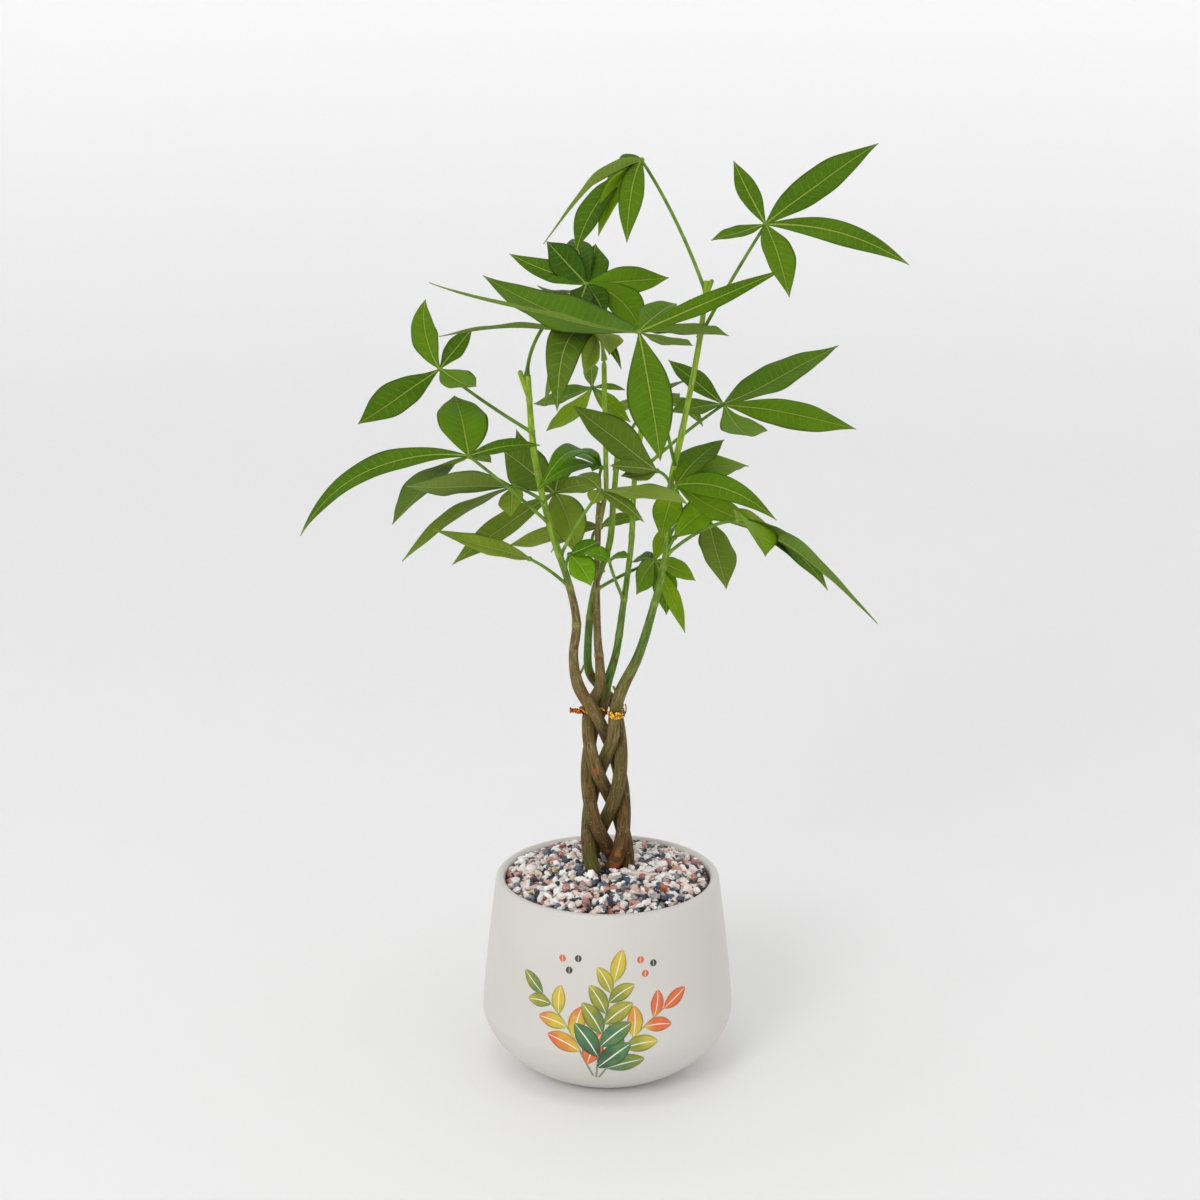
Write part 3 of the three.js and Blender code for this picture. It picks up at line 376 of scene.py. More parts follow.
# Each of these is its value at the soil and at the tie.
BRAID_WIDTH, BRAID_DEPTH, BRAID_LEAN, STRAND_RADIUS = (13, 10), (10.6, 9.8), (0.8, -3), (4.8, 3.9)

# phase is a strand's angle in the plait at the tie; green is the height where bark gives way to
# green skin, and how green the bark below it is; above is its way through the tie and up, each
# point with its radius; spurs are side growths, each with foot, tip and radius; scars and
# rust-coloured patches are height, heading and size; nodes are the heights of its rings.
STEMS = {
    "far_left": {
        "phase": -24,
        "green": (326, 0),
        "above": [
            (-7.5, -9, 240, 3.6), (-18.5, -8, 259, 3.9), (-21.5, -6, 277, 3), (-19.5, -5, 299, 2.6),
            (-24, -5, 323, 2.3), (-36, -4, 362, 2.1), (-45, -3, 405, 2), (-49, -2, 455, 1.9),
        ],
        "spurs": [((-48, -2, 440), (-54, -2, 458), 1.5), ((-17, -8, 267), (-14.6, -8.6, 273), 0.7)],
        "scars": [(284, 300, 3.2)],
        "rust": [(141, 275, 5), (149, 262, 3.2)],
        "nodes": [298, 322, 343, 362, 394, 440],
    },
    "left": {
        "phase": 48,
        "green": (262, 0.15),
        "above": [
            (4.4, 9.7, 240, 3.5), (-4, 12.5, 251, 3.2), (-11.5, 7, 263, 2.9), (-12.5, 5, 282, 2.5),
            (-8.5, 6, 317, 2.1), (1, 7, 347, 2), (3.5, 8, 375, 1.9), (7, 9, 416, 1.7),
        ],
        "spurs": [],
        "scars": [(262, 268, 3)],
        "rust": [],
        "nodes": [300, 330, 372, 395],
    },
    "middle": {
        "phase": 264,
        "green": (395, 0.05),
        "above": [
            (-12, 2, 240, 3.4), (-5, -3, 257, 3.4), (-5, -3, 270, 3), (-6.5, -2, 290, 2.4),
            (-7, -2, 325, 2), (-5.5, -2, 375, 1.6),
        ],
        "spurs": [((-5.8, -2, 358), (-1, -2, 384), 1.5), ((-1, -2, 382), (-2.5, -2, 465), 1.5)],
        "scars": [(276, 262, 3)],
        "rust": [(205, 255, 3.6)],
        "nodes": [277, 320, 366],
    },
    "right": {
        "phase": 192,
        "green": (252, 0.05),
        "above": [
            (-3.5, 4.6, 240, 3.5), (-0.5, 4.5, 256, 3), (5, 6, 275, 2.6), (9.5, 6, 306, 2),
            (14.5, 5, 347, 1.8), (16.5, 5, 389, 1.7), (22, 6, 430, 1.6),
        ],
        "spurs": [],
        "scars": [(272, 285, 2.8)],
        "rust": [(149, 265, 3)],
        "nodes": [288, 312, 352, 390],
    },
    "far_right": {
        "phase": 120,
        "green": (278, 0.25),
        "above": [
            (4.5, -6.5, 240, 3.7), (8, -7, 254, 3.9), (19, -4, 277, 3.2), (27.5, -3, 305, 2.4),
            (36, -2, 343, 2), (39, -2, 389, 2), (45, -2, 418, 1.9), (56, 0, 479, 1.7),
            (59.5, 1, 512, 1.6),
        ],
        "spurs": [((58.5, 1, 500), (63, 1, 513), 1.3), ((5, -8, 254), (3.4, -8.8, 259), 0.7)],
        "scars": [(263, 310, 3)],
        "rust": [],
        "nodes": [311, 335, 362, 385, 420, 479],
    },
}


def stem_places(stem):
    """Rows of x, y, z and radius that a stem's curve runs through, from its root end up. In the
    plait x is lean + width sin(a) and y is depth sin(2a), where a turns once a period."""
    z = np.arange(ROOT_END_Z, TIE_Z - BRAID_STEP / 2, BRAID_STEP)
    share = (z - SOIL_TOP_Z) / (TIE_Z - SOIL_TOP_Z)
    ends = (BRAID_WIDTH, BRAID_DEPTH, BRAID_LEAN, STRAND_RADIUS)
    width, depth, lean, radius = (low + (high - low) * share for low, high in ends)
    angle = np.radians(stem["phase"] + 360 * (TIE_Z - z) / BRAID_PERIOD)
    braid = np.column_stack([lean + width * np.sin(angle), depth * np.sin(2 * angle), z, radius])
    return np.concatenate([braid, stem["above"]])


def evenly(fine, steps):
    """A line of points resampled at even distances along it, and those distances. steps is how
    many, or a function of the line's length that gives it."""
    length = np.concatenate([[0], np.cumsum(np.linalg.norm(np.diff(fine, axis=0), axis=1))])
    at = np.linspace(0, length[-1], steps(length[-1]) if callable(steps) else steps)
    return np.column_stack([np.interp(at, length, fine[:, i]) for i in range(3)]), at


def through(places, step):
    """A curve through rows of x, y, z and radius, sampled every step along it. Between two rows
    it is the Catmull-Rom cubic whose knots are the square roots of the distances apart."""
    xyz = places[:, :3]
    ends = np.concatenate([[2 * xyz[0] - xyz[1]], xyz, [2 * xyz[-1] - xyz[-2]]])
    knot = np.sqrt(np.linalg.norm(np.diff(ends, axis=0), axis=1))[:, None]
    p0, p1, p2, p3 = ends[:-3], ends[1:-2], ends[2:-1], ends[3:]
    d0, d1, d2 = knot[:-2], knot[1:-1], knot[2:]
    start = ((p1 - p0) / d0 - (p2 - p0) / (d0 + d1) + (p2 - p1) / d1) * d1
    end = ((p2 - p1) / d1 - (p3 - p1) / (d1 + d2) + (p3 - p2) / d2) * d1
    t = np.linspace(0, 1, 40, endpoint=False)[:, None, None]
    way = p2 - p1
    cubic = p1 + start * t + (3 * way - 2 * start - end) * t**2 + (start + end - 2 * way) * t**3
    fine = np.concatenate([cubic.transpose(1, 0, 2).reshape(-1, 3), xyz[-1:]])
    line, at = evenly(fine, lambda length: int(length / step) + 2)
    radius = np.interp(line[:, 2], places[:, 2], places[:, 3])
    return line, radius, at


strand_lines = {name: through(stem_places(stem), 1.0) for name, stem in STEMS.items()}

# ---------------------------------------------------------------------------- gravel
# Crushed stone top dressing, 3 to 7 mm, washed and mixed: milky quartz, pink feldspar, slate
# and a little jasper. It is heaped loosely towards the trunk, two chips deep, over fine grit.

GRAVEL_RADIUS = MOUTH_RADIUS - 0.4
GRAVEL_EDGE_Z = 127.5
GRAVEL_MOUND = 9.5
CHIP_HALF = 2.75  # half the length of a middling chip
LAYERS = [(980, 2.0), (900, 0.3)]  # chips in each, and how far they lie under the heap's level
GRIT_SINK = 2.4  # of the grit, likewise
GRIT_SEGMENTS = 72
RING_SIDES, RINGS, CUTS = 6, 4, 9  # of the ball that a chip is cut from, and planes that cut it
luck = np.random.default_rng(20)

# Name, share of the chips, and the colours that a kind runs through.
STONES = [
    ("Milky quartz chips", 0.4, ["#dcd8d2", "#f4f2ee", "#fdfcfa"]),
    ("Rose quartz chips", 0.17, ["#cfb0a4", "#e2ccc1", "#eedfd6"]),
    ("Pink feldspar chips", 0.12, ["#a8695a", "#c58675", "#d8a494"]),
    ("Blue-grey slate chips", 0.12, ["#333c4b", "#4c576a", "#6f7a8a"]),
    ("Dark slate chips", 0.12, ["#15181d", "#252a32", "#3a414c"]),
    ("Grey limestone chips", 0.04, ["#77797b", "#989a9a", "#b5b5b2"]),
    ("Honey chert chips", 0.02, ["#b79f6c", "#d3c293", "#e2d6b0"]),
    ("Red jasper chips", 0.01, ["#8c3318", "#b4532a", "#c9764a"]),
]


def gravel_height(radius):
    """Level of the heap: its edge plus mound times 1 - (r / R)^2."""
    return GRAVEL_EDGE_Z + GRAVEL_MOUND * (1 - (radius / GRAVEL_RADIUS) ** 2)


def clear_of_strands(x, y, room):
    """True where a chip's middle is more than room outside every strand at the gravel's level."""
    clear = np.ones(len(x), bool)
    for line, radius, _ in strand_lines.values():
        level = np.argmin(np.abs(line[:, 2] - (GRAVEL_EDGE_Z + GRAVEL_MOUND)))
        clear &= np.hypot(x - line[level, 0], y - line[level, 1]) > radius[level] + room
    return clear


def chips(count, sink):
    """Stone chips on a sunflower spiral, radius R sqrt(k / count) at the golden angle. Each is
    a ball of four rings of six whose points lie on the nearest of nine planes about it, at
    h / (d . n) in the direction d, stretched, tilted and turned. Returns points (count, 26, 3)."""
    k = np.arange(count) + luck.uniform(0.1, 0.9, count)
    half = CHIP_HALF * luck.lognormal(0, 0.26, count).clip(0.6, 1.5)
    radius = (GRAVEL_RADIUS - 0.9 * half) * np.sqrt(k / count)
    angle = k * np.pi * (3 - np.sqrt(5)) + luck.normal(0, 0.04, count)
    x, y = radius * np.cos(angle), radius * np.sin(angle)
    kept = clear_of_strands(x, y, 0.7 * half)
    x, y, half, radius = x[kept], y[kept], half[kept], radius[kept]
    count = len(x)
    polar = np.radians([36, 72, 108, 144])[:, None]
    turn = np.radians(np.arange(0, 360, 60) + np.array([[0], [30], [0], [30]]))
    ball = around(np.sin(polar), turn, np.cos(polar)).reshape(-1, 3)
    ball = np.concatenate([ball, [[0, 0, 1], [0, 0, -1]]])
    facing = unit(luck.normal(size=(count, CUTS, 3)))
    planes = luck.uniform(0.62, 0.95, (count, CUTS, 1)) / (facing @ ball.T).clip(0.3)
    stone = ball * planes.min(1).clip(0.5, 1.15)[..., None]
    width = half * luck.uniform(0.62, 0.95, count)
    height = half * luck.uniform(0.45, 0.8, count)
    stone = stone * np.stack([half, width, height], 1)[:, None, :]
    tilt = luck.normal(0, 0.45, count)
    roll = luck.normal(0, 0.45, count)
    spin = luck.uniform(0, 2 * np.pi, count)
    for first, second, by in ((1, 2, tilt), (0, 2, roll), (0, 1, spin)):
        cos, sin = np.cos(by)[:, None], np.sin(by)[:, None]
        a, b = stone[..., first].copy(), stone[..., second].copy()
        stone[..., first], stone[..., second] = a * cos - b * sin, a * sin + b * cos
    level = gravel_height(radius) - sink + luck.uniform(-0.7, 0.7, count)
    return stone + np.stack([x, y, level], 1)[:, None, :]


def chip_skin(stones):
    """One skin of many chips: 18 quads and 12 triangles each, with its kind of stone."""
    count, points = stones.shape[:2]
    ring = np.arange(RING_SIDES)
    after = (ring + 1) % RING_SIDES
    starts = range(0, RING_SIDES * (RINGS - 1), RING_SIDES)
    quads = [np.stack([ring, ring + RING_SIDES, after + RING_SIDES, after], 1) + r for r in starts]
    last = RING_SIDES * (RINGS - 1)
    above = np.stack([np.full(RING_SIDES, points - 2), ring, after], 1)
    below = np.stack([np.full(RING_SIDES, points - 1), after + last, ring + last], 1)
    quads, fans = np.concatenate(quads), np.concatenate([above, below])
    first = points * np.arange(count)[:, None, None]
    kinds = luck.choice(len(STONES), count, p=[share for _, share, _ in STONES])
    return {
        "points": stones.reshape(-1, 3),
        "quads": (quads + first).reshape(-1, 4),
        "fans": (fans + first).reshape(-1, 3),
        "quads_uv": np.zeros((len(quads) * count, 4, 2)),
        "fans_uv": np.zeros((len(fans) * count, 3, 2)),
        "finish": np.concatenate([np.repeat(kinds, len(part)) for part in (quads, fans)]),
        "marks": {"chip": np.repeat(luck.random(count), points)[:, None]},
    }


def crushed_stone(name, colours):
    """Broken stone, dry and dull, its colour set chip by chip and mottled by 1.5 mm grains."""
    finish, tree, shader = new_finish(name, {"Roughness": 0.35, "IOR": 1.54})
    chip = add(tree, "Attribute", attribute_name="chip").outputs["Fac"]
    place = add(tree, "TexCoord").outputs["Object"]
    grain = add(tree, "TexNoise", {"Vector": place, "Scale": 1 / (1.5 * MM), "Detail": 3.0})
    spread = {"Value": grain, "From Min": 0.3, "From Max": 0.7, "To Min": -0.3, "To Max": 0.3}
    pick = add(tree, "Math", {0: chip, 1: add(tree, "MapRange", spread)}, operation="ADD")
    tone = add(tree, "ValToRGB", {0: pick}, list(zip((0.0, 0.5, 1.0), colours)))
    relief = add(tree, "Bump", {"Height": grain, "Strength": 0.35, "Distance": 0.4 * MM})
    connect(tree, shader, {"Base Color": tone, "Normal": relief})
    return finish


def grit_in_painted_shade():
    """Grit and dust between the chips: 1.6 mm cells of mixed dull stone, darkened as painted shade
    of the gaps.
    """
    finish, tree, shader = new_finish("Fine mixed grit in painted shade", {"Roughness": 0.85})
    place = add(tree, "TexCoord").outputs["Object"]
    cells = add(tree, "TexVoronoi", {"Vector": place, "Scale": 1 / (1.6 * MM)})
    pick = add(tree, "SeparateColor", {0: cells.outputs["Color"]})
    # These tones are darker than the stones': painted shade in the gaps between the chips.
    stops = [(0.0, "#1f1b19"), (0.4, "#4b413c"), (0.7, "#7a6c65"), (1.0, "#a89c94")]
    tone = add(tree, "ValToRGB", {0: pick}, stops)
    sunk = {"Height": cells, "Strength": 0.9, "Distance": 0.6 * MM}
    connect(tree, shader, {"Base Color": tone, "Normal": add(tree, "Bump", sunk, invert=True)})
    return finish


heap_radius = np.linspace(GRAVEL_RADIUS, POLE_RADIUS, 20)
heap = np.column_stack([heap_radius, gravel_height(heap_radius) - GRIT_SINK])
bed_z = SOIL_TOP_Z + 0.4  # just clear of the soil
bed = turned(np.concatenate([[[POLE_RADIUS, bed_z], [GRAVEL_RADIUS, bed_z]], heap]), GRIT_SEGMENTS)
make_piece("gravel_grit", [closed(bed)], [grit_in_painted_shade()], ["gravel"])
stones = np.concatenate([chips(*layer) for layer in LAYERS])
looks = [crushed_stone(name, colours) for name, _, colours in STONES]
make_piece("gravel_chips", [chip_skin(stones)], looks, ["gravel"], smooth=False)

# ---------------------------------------------------------------------------- stems
# Living wood: olive bark with fine lengthwise fissures and corky specks low down, smooth green
# skin above. A fallen leaf leaves a red-brown scar, and each leaf stands on a slight swelling.

STEM_SIDES = 36
BARK_RIDGE, GREEN_RIDGE = 0.18, 0.04
GREEN_BLEND = (-18, 12)  # the bark turns green from this far under its height to this far over
NODE_RISE, SCAR_SINK = 0.35, 0.3
SPUR_POINTS, SPUR_GREEN = 24, 0.5


def tube(line, radius, sides, upright=(0, -1, 0)):
    """Rings round a line: its own tangent crossed with upright gives the sideways direction,
    and the two cross to give outwards. radius may differ along the line and round it."""
    tangent = unit(np.gradient(line, axis=0))
    aside = unit(np.cross(tangent, upright))
    out = np.cross(aside, tangent)
    angle = circle(sides)
    radius = np.broadcast_to(np.asarray(radius, float).reshape(len(line), -1), (len(line), sides))
    spoke = aside[:, None] * np.cos(angle)[:, None] + out[:, None] * np.sin(angle)[:, None]
    return line[:, None] + spoke * radius[..., None]


def smooth_step(value, low, high):
    """3s^2 - 2s^3 of the value's share of the way from low to high."""
    share = np.clip((value - low) / (high - low), 0, 1)
    return share * share * (3 - 2 * share)


def spots(line, angle, radius, places):
    """Soft spots on a stem: exp of minus the squared way over the skin from each place, given
    as height, heading and size, and reaching 0.8 of that size upwards."""
    found = np.zeros((len(line), len(angle)))
    for height, heading, size in places:
        round_way = np.angle(np.exp(1j * (angle + math.radians(heading)))) * radius
        up_way = (line[:, 2:] - height) / 0.8
        found = np.maximum(found, np.exp(-(round_way**2 + up_way**2) / size**2))
    return found


def stem_skin(line, radius, at, green, stem, shift):
    """A stem: ridges 9 and 13 to the turn that wander along it, 0.18 mm high on bark and 0.04 on
    green skin, soft rings at its nodes, and sunken scars. green is as in STEMS. grain is a place
    on the straightened stem, so bark streaks follow its bends."""
    angle = circle(STEM_SIDES)
    height, along, radius = line[:, 2:], at[:, None], radius[:, None]
    from_z, low = green
    green = low + (1 - low) * smooth_step(height, *(from_z + ends for ends in GREEN_BLEND))
    ridges = 0.55 * np.sin(9 * angle + 1.6 * np.sin(along / 23 + shift) + shift)
    ridges = ridges + 0.45 * np.sin(13 * angle - 1.9 * np.sin(along / 15 + 2 * shift))
    scar = spots(line, angle, radius, stem["scars"])
    rust = spots(line, angle, radius, stem["rust"])
    rings = sum(np.exp(-(((height - node) / 1.6) ** 2)) for node in stem["nodes"])
    relief = ridges * (GREEN_RIDGE + (BARK_RIDGE - GREEN_RIDGE) * (1 - green))
    relief = relief + NODE_RISE * rings - SCAR_SINK * scar + 0.12 * np.sin(along / 9)
    flat = np.ones_like(relief)
    girth = radius + relief * np.minimum(1, radius / 3)
    grain = around(radius, angle, along) + 40 * shift  # each stem has its own part of the pattern
    marks = {"green": green * flat, "scar": scar, "rust": rust, "ring": rings * flat}
    return closed(tube(line, girth, STEM_SIDES), grain=grain, **marks)


def spur_skin(foot, tip, radius, stem, shift):
    """A short growth fused to the stem: a straight tube with a round end, whose radius is
    r sqrt(1.02 - (1 - (way to the tip) / r)^2) within r of it."""
    line = bend(foot, (np.array(foot) + tip) / 2, tip, SPUR_POINTS)
    at = np.linspace(0, np.linalg.norm(np.subtract(tip, foot)), SPUR_POINTS)
    girth = radius * np.sqrt(1.02 - (1 - (at[-1] - at) / radius).clip(0) ** 2)
    bare = {"scars": [], "rust": [], "nodes": []}
    return stem_skin(line, girth, at, (stem["green"][0], SPUR_GREEN), bare, shift)


def living_bark():
    """Young Pachira bark: olive brown, streaked lengthwise every 1.2 mm, brown in clouds 14 mm
    wide and more so near the soil, and specked with corky pores 2 to 3 mm apart. The green skin
    shows where bark is thin and takes over higher up, fresher towards the top."""
    name = "Young olive bark and green stem skin"
    finish, tree, shader = new_finish(name, {"Specular IOR Level": 0.3})
    grain = add(tree, "Attribute", attribute_name="grain").outputs["Vector"]
    names = ("green", "scar", "rust", "ring")
    marks = (add(tree, "Attribute", attribute_name=name).outputs["Fac"] for name in names)
    green, scar, rust, ring = marks
    height = add(tree, "SeparateXYZ", {0: add(tree, "TexCoord").outputs["Object"]}).outputs["Z"]

    drawn = add(tree, "Mapping", {"Vector": grain, "Scale": (1 / 1.2, 1 / 1.2, 1 / 9)})
    streak = {"Vector": drawn, "Scale": 1.0, "Detail": 5.0, "Roughness": 0.65}
    streak = add(tree, "TexNoise", streak)
    clouds = add(tree, "TexNoise", {"Vector": grain, "Scale": 1 / 14, "Detail": 2.0})
    stops = [(0.28, "#32260f"), (0.45, "#64552c"), (0.58, "#857848"), (0.75, "#ada27a")]
    bark = add(tree, "ValToRGB", {0: streak}, stops)
    pores = add(tree, "Mapping", {"Vector": grain, "Scale": (1 / 2.2, 1 / 2.2, 1 / 3.2)})
    pores = add(tree, "TexVoronoi", {"Vector": pores, "Scale": 1.0, "Randomness": 1.0})
    cloudy = {"Value": clouds, "From Min": 0.35, "From Max": 0.65, "To Max": 0.6}
    old = {"Value": height, "From Min": 250 * MM, "From Max": 140 * MM, "To Max": 0.85}
    corky = {"Value": pores, "From Min": 0.2, "From Max": 0.1, "To Max": 0.45}
    tints = [(cloudy, "#6e5030", "MIX"), (old, "#b08562", "MULTIPLY"), (corky, "#b3a981", "MIX")]
    for where, hue, blend in tints:
        mixed = {"Fac": add(tree, "MapRange", where), "Color1": bark, "Color2": hue}
        bark = add(tree, "MixRGB", mixed, blend_type=blend)

    deep, fresh = (
        add(tree, "ValToRGB", {0: streak}, list(zip((0.3, 0.5, 0.7), greens)))
        for greens in (("#2c4e08", "#4c7414", "#7a9636"), ("#587e08", "#88ac18", "#aec840"))
    )
    up = add(tree, "MapRange", {"Value": height, "From Min": 300 * MM, "From Max": 400 * MM})
    skin = add(tree, "MixRGB", {"Fac": up, "Color1": deep, "Color2": fresh})
    thin = {"Value": clouds, "From Min": 0.3, "From Max": 0.7, "To Min": -0.3, "To Max": 0.16}
    share = {0: green, 1: add(tree, "MapRange", thin)}
    share = add(tree, "Math", share, operation="ADD", use_clamp=True)
    colour = add(tree, "MixRGB", {"Fac": share, "Color1": bark, "Color2": skin})
    ringed = add(tree, "Math", {0: ring, 1: 0.4}, operation="MULTIPLY")
    colour = add(tree, "MixRGB", {"Fac": ringed, "Color1": colour, "Color2": "#96a24e"})

    ragged = {"Vector": grain, "Scale": 0.6, "Detail": 5.0, "Roughness": 0.7}
    ragged = add(tree, "TexNoise", ragged)
    for mark, hue in ((rust, "#a0552c"), (scar, "#742c1c")):
        edge = add(tree, "Math", {0: ragged, 1: 1.6, 2: mark}, operation="MULTIPLY_ADD")
        edge = {"Value": edge, "From Min": 1.3, "From Max": 1.6, "To Max": 0.8}
        colour = {"Fac": add(tree, "MapRange", edge), "Color1": colour, "Color2": hue}
        colour = add(tree, "MixRGB", colour)
    rough = add(tree, "MapRange", {"Value": share, "To Min": 0.78, "To Max": 0.48})
    depth = add(tree, "MapRange", {"Value": share, "To Min": 0.75, "To Max": 0.2})
    relief = add(tree, "Bump", {"Height": streak, "Strength": depth, "Distance": 0.5 * MM})
    connect(tree, shader, {"Base Color": colour, "Roughness": rough, "Normal": relief})
    return finish


bark = living_bark()
for number, (name, stem) in enumerate(STEMS.items()):
    skins = [stem_skin(*strand_lines[name], stem["green"], stem, number)]
    skins += [spur_skin(*spur, stem, number) for spur in stem["spurs"]]
    make_piece(f"plaited_stem_{name}", skins, [bark], [f"stem_{name}"])

# ---------------------------------------------------------------------------- twist tie
# A crumpled strip of gold foil over a soft wire, wound round four of the stems and behind the
# fifth. Its ends lap in front; one bare end of the wire stands up, and a copper end sticks out.

# Points of x, y and the height over the tie's own.
TIE_LOOP = [
    (0.6, -10.6, -0.2), (5.2, -12.2, -0.8), (9.8, -9.4, -0.6), (10.2, -4, 0), (9.8, 2, 0.3),
    (9.8, 8.5, 0.5), (8.6, 13.2, 0.4), (4.4, 15, 0), (-1, 13.4, -0.3), (-8, 10, -0.2),
    (-14.8, 7.2, 0), (-17.5, 2.6, 0.3), (-16.2, -3, 0.5), (-9.7, -3.6, 0.8), (-4, -3.2, 1.4),
    (-1.4, -7, 1.3), (0.9, -11, 1.4), (5.2, -12.8, 1.5), (9.4, -10.6, 0.6),
]
TIE_STUB = [(-13.6, -3, 0.3), (-17, -4.2, 0.5), (-20.6, -5.2, 1.6), (-24, -6, 2)]
TIE_TAIL = [(6, -12.6, 0.4), (10, -13, 1), (11.5, -12.5, 5), (11, -11.5, 8)]
FOIL_WIDTH, STUB_WIDTH, FOIL_THICKNESS = 2.6, 3.2, 0.7  # two layers of foil with wire between
FOIL_STEP, FOIL_SIDES = 0.35, 20
WIRE_RADIUS, WIRE_STEP, WIRE_SIDES = 0.35, 0.5, 10


def tie_line(points, step):
    """The curve through a list of the tie's points, and the way along it."""
    places = np.column_stack([np.add(points, (0, 0, TIE_Z)), np.zeros(len(points))])
    line, _, at = through(places, step)
    return line, at


def foil_skin(points, width):
    """A flat strip standing on edge: an ellipse of width by thickness carried along the line,
    crumpled by sines of three lengths that shift each edge by itself."""
    line, at = tie_line(points, FOIL_STEP)
    outward = unit(np.cross(np.gradient(line, axis=0), (0, 0, 1)))
    across, through_way = np.cos(circle(FOIL_SIDES)), np.sin(circle(FOIL_SIDES))
    along = at[:, None]
    crumple = 0.3 * np.sin(along * 2.3 + 2 * across)
    crumple = crumple + 0.22 * np.sin(along * 4.1 - 3 * across) * across
    crumple = crumple + 0.16 * np.sin(along * 0.9 + 5 * across**2)
    shift = outward[:, None] * (through_way * FOIL_THICKNESS / 2 + crumple)[..., None]
    height = across * width / 2 * (1 + 0.16 * np.sin(along * 1.3) + 0.1 * np.sin(along * 3.7))
    return closed(line[:, None] + shift + np.array([0, 0, 1]) * height[..., None])


def crinkled_foil(name, colour, dark):
    """Metallised film: bright, mirror-like, and broken up by creases every 1.6 mm, darkened there
    as painted reflection.
    """
    finish, tree, shader = new_finish(name, {"Metallic": 1.0, "Roughness": 0.2})
    place = add(tree, "TexCoord").outputs["Object"]
    crease_and_dark_reflection = add(tree, "TexNoise", {"Vector": place, "Scale": 1 / (1.6 * MM), "Detail": 1.5})
    # The dark colour at the creases is painted reflection of dark surroundings, not the foil's own
    # colour.
    tone = add(tree, "ValToRGB", {0: crease_and_dark_reflection}, [(0.38, dark), (0.52, colour)])
    relief = add(tree, "Bump", {"Height": crease_and_dark_reflection, "Strength": 0.5, "Distance": 0.5 * MM})
    connect(tree, shader, {"Base Color": tone, "Normal": relief})
    return finish


tail_line, _ = tie_line(TIE_TAIL, WIRE_STEP)
tail = tube(tail_line, np.full(len(tail_line), WIRE_RADIUS), WIRE_SIDES, (1, 0, 0))
tie_skins = [foil_skin(TIE_LOOP, FOIL_WIDTH), foil_skin(TIE_STUB, STUB_WIDTH), closed(tail)]
for number, skin in enumerate(tie_skins):
    skin["finish"] = skin["finish"] + number
# The wire is dull iron-brown, a steel wire whose black drawing scale is still on it.
wire_look = {"Metallic": 1.0, "Roughness": 0.4, "Base Color": "#4a3a2c"}
tie_finishes = [
    # Each foil's second colour is a painted dark reflection.
    crinkled_foil("Crinkled gold foil", "#ffc03a", "#7a3e0c"),
    crinkled_foil("Crinkled copper foil", "#cf6a1c", "#6d2a08"),
    new_finish("Drawn steel wire", wire_look)[0],
]
make_piece("foil_tie", tie_skins, tie_finishes, ["twist_tie"])
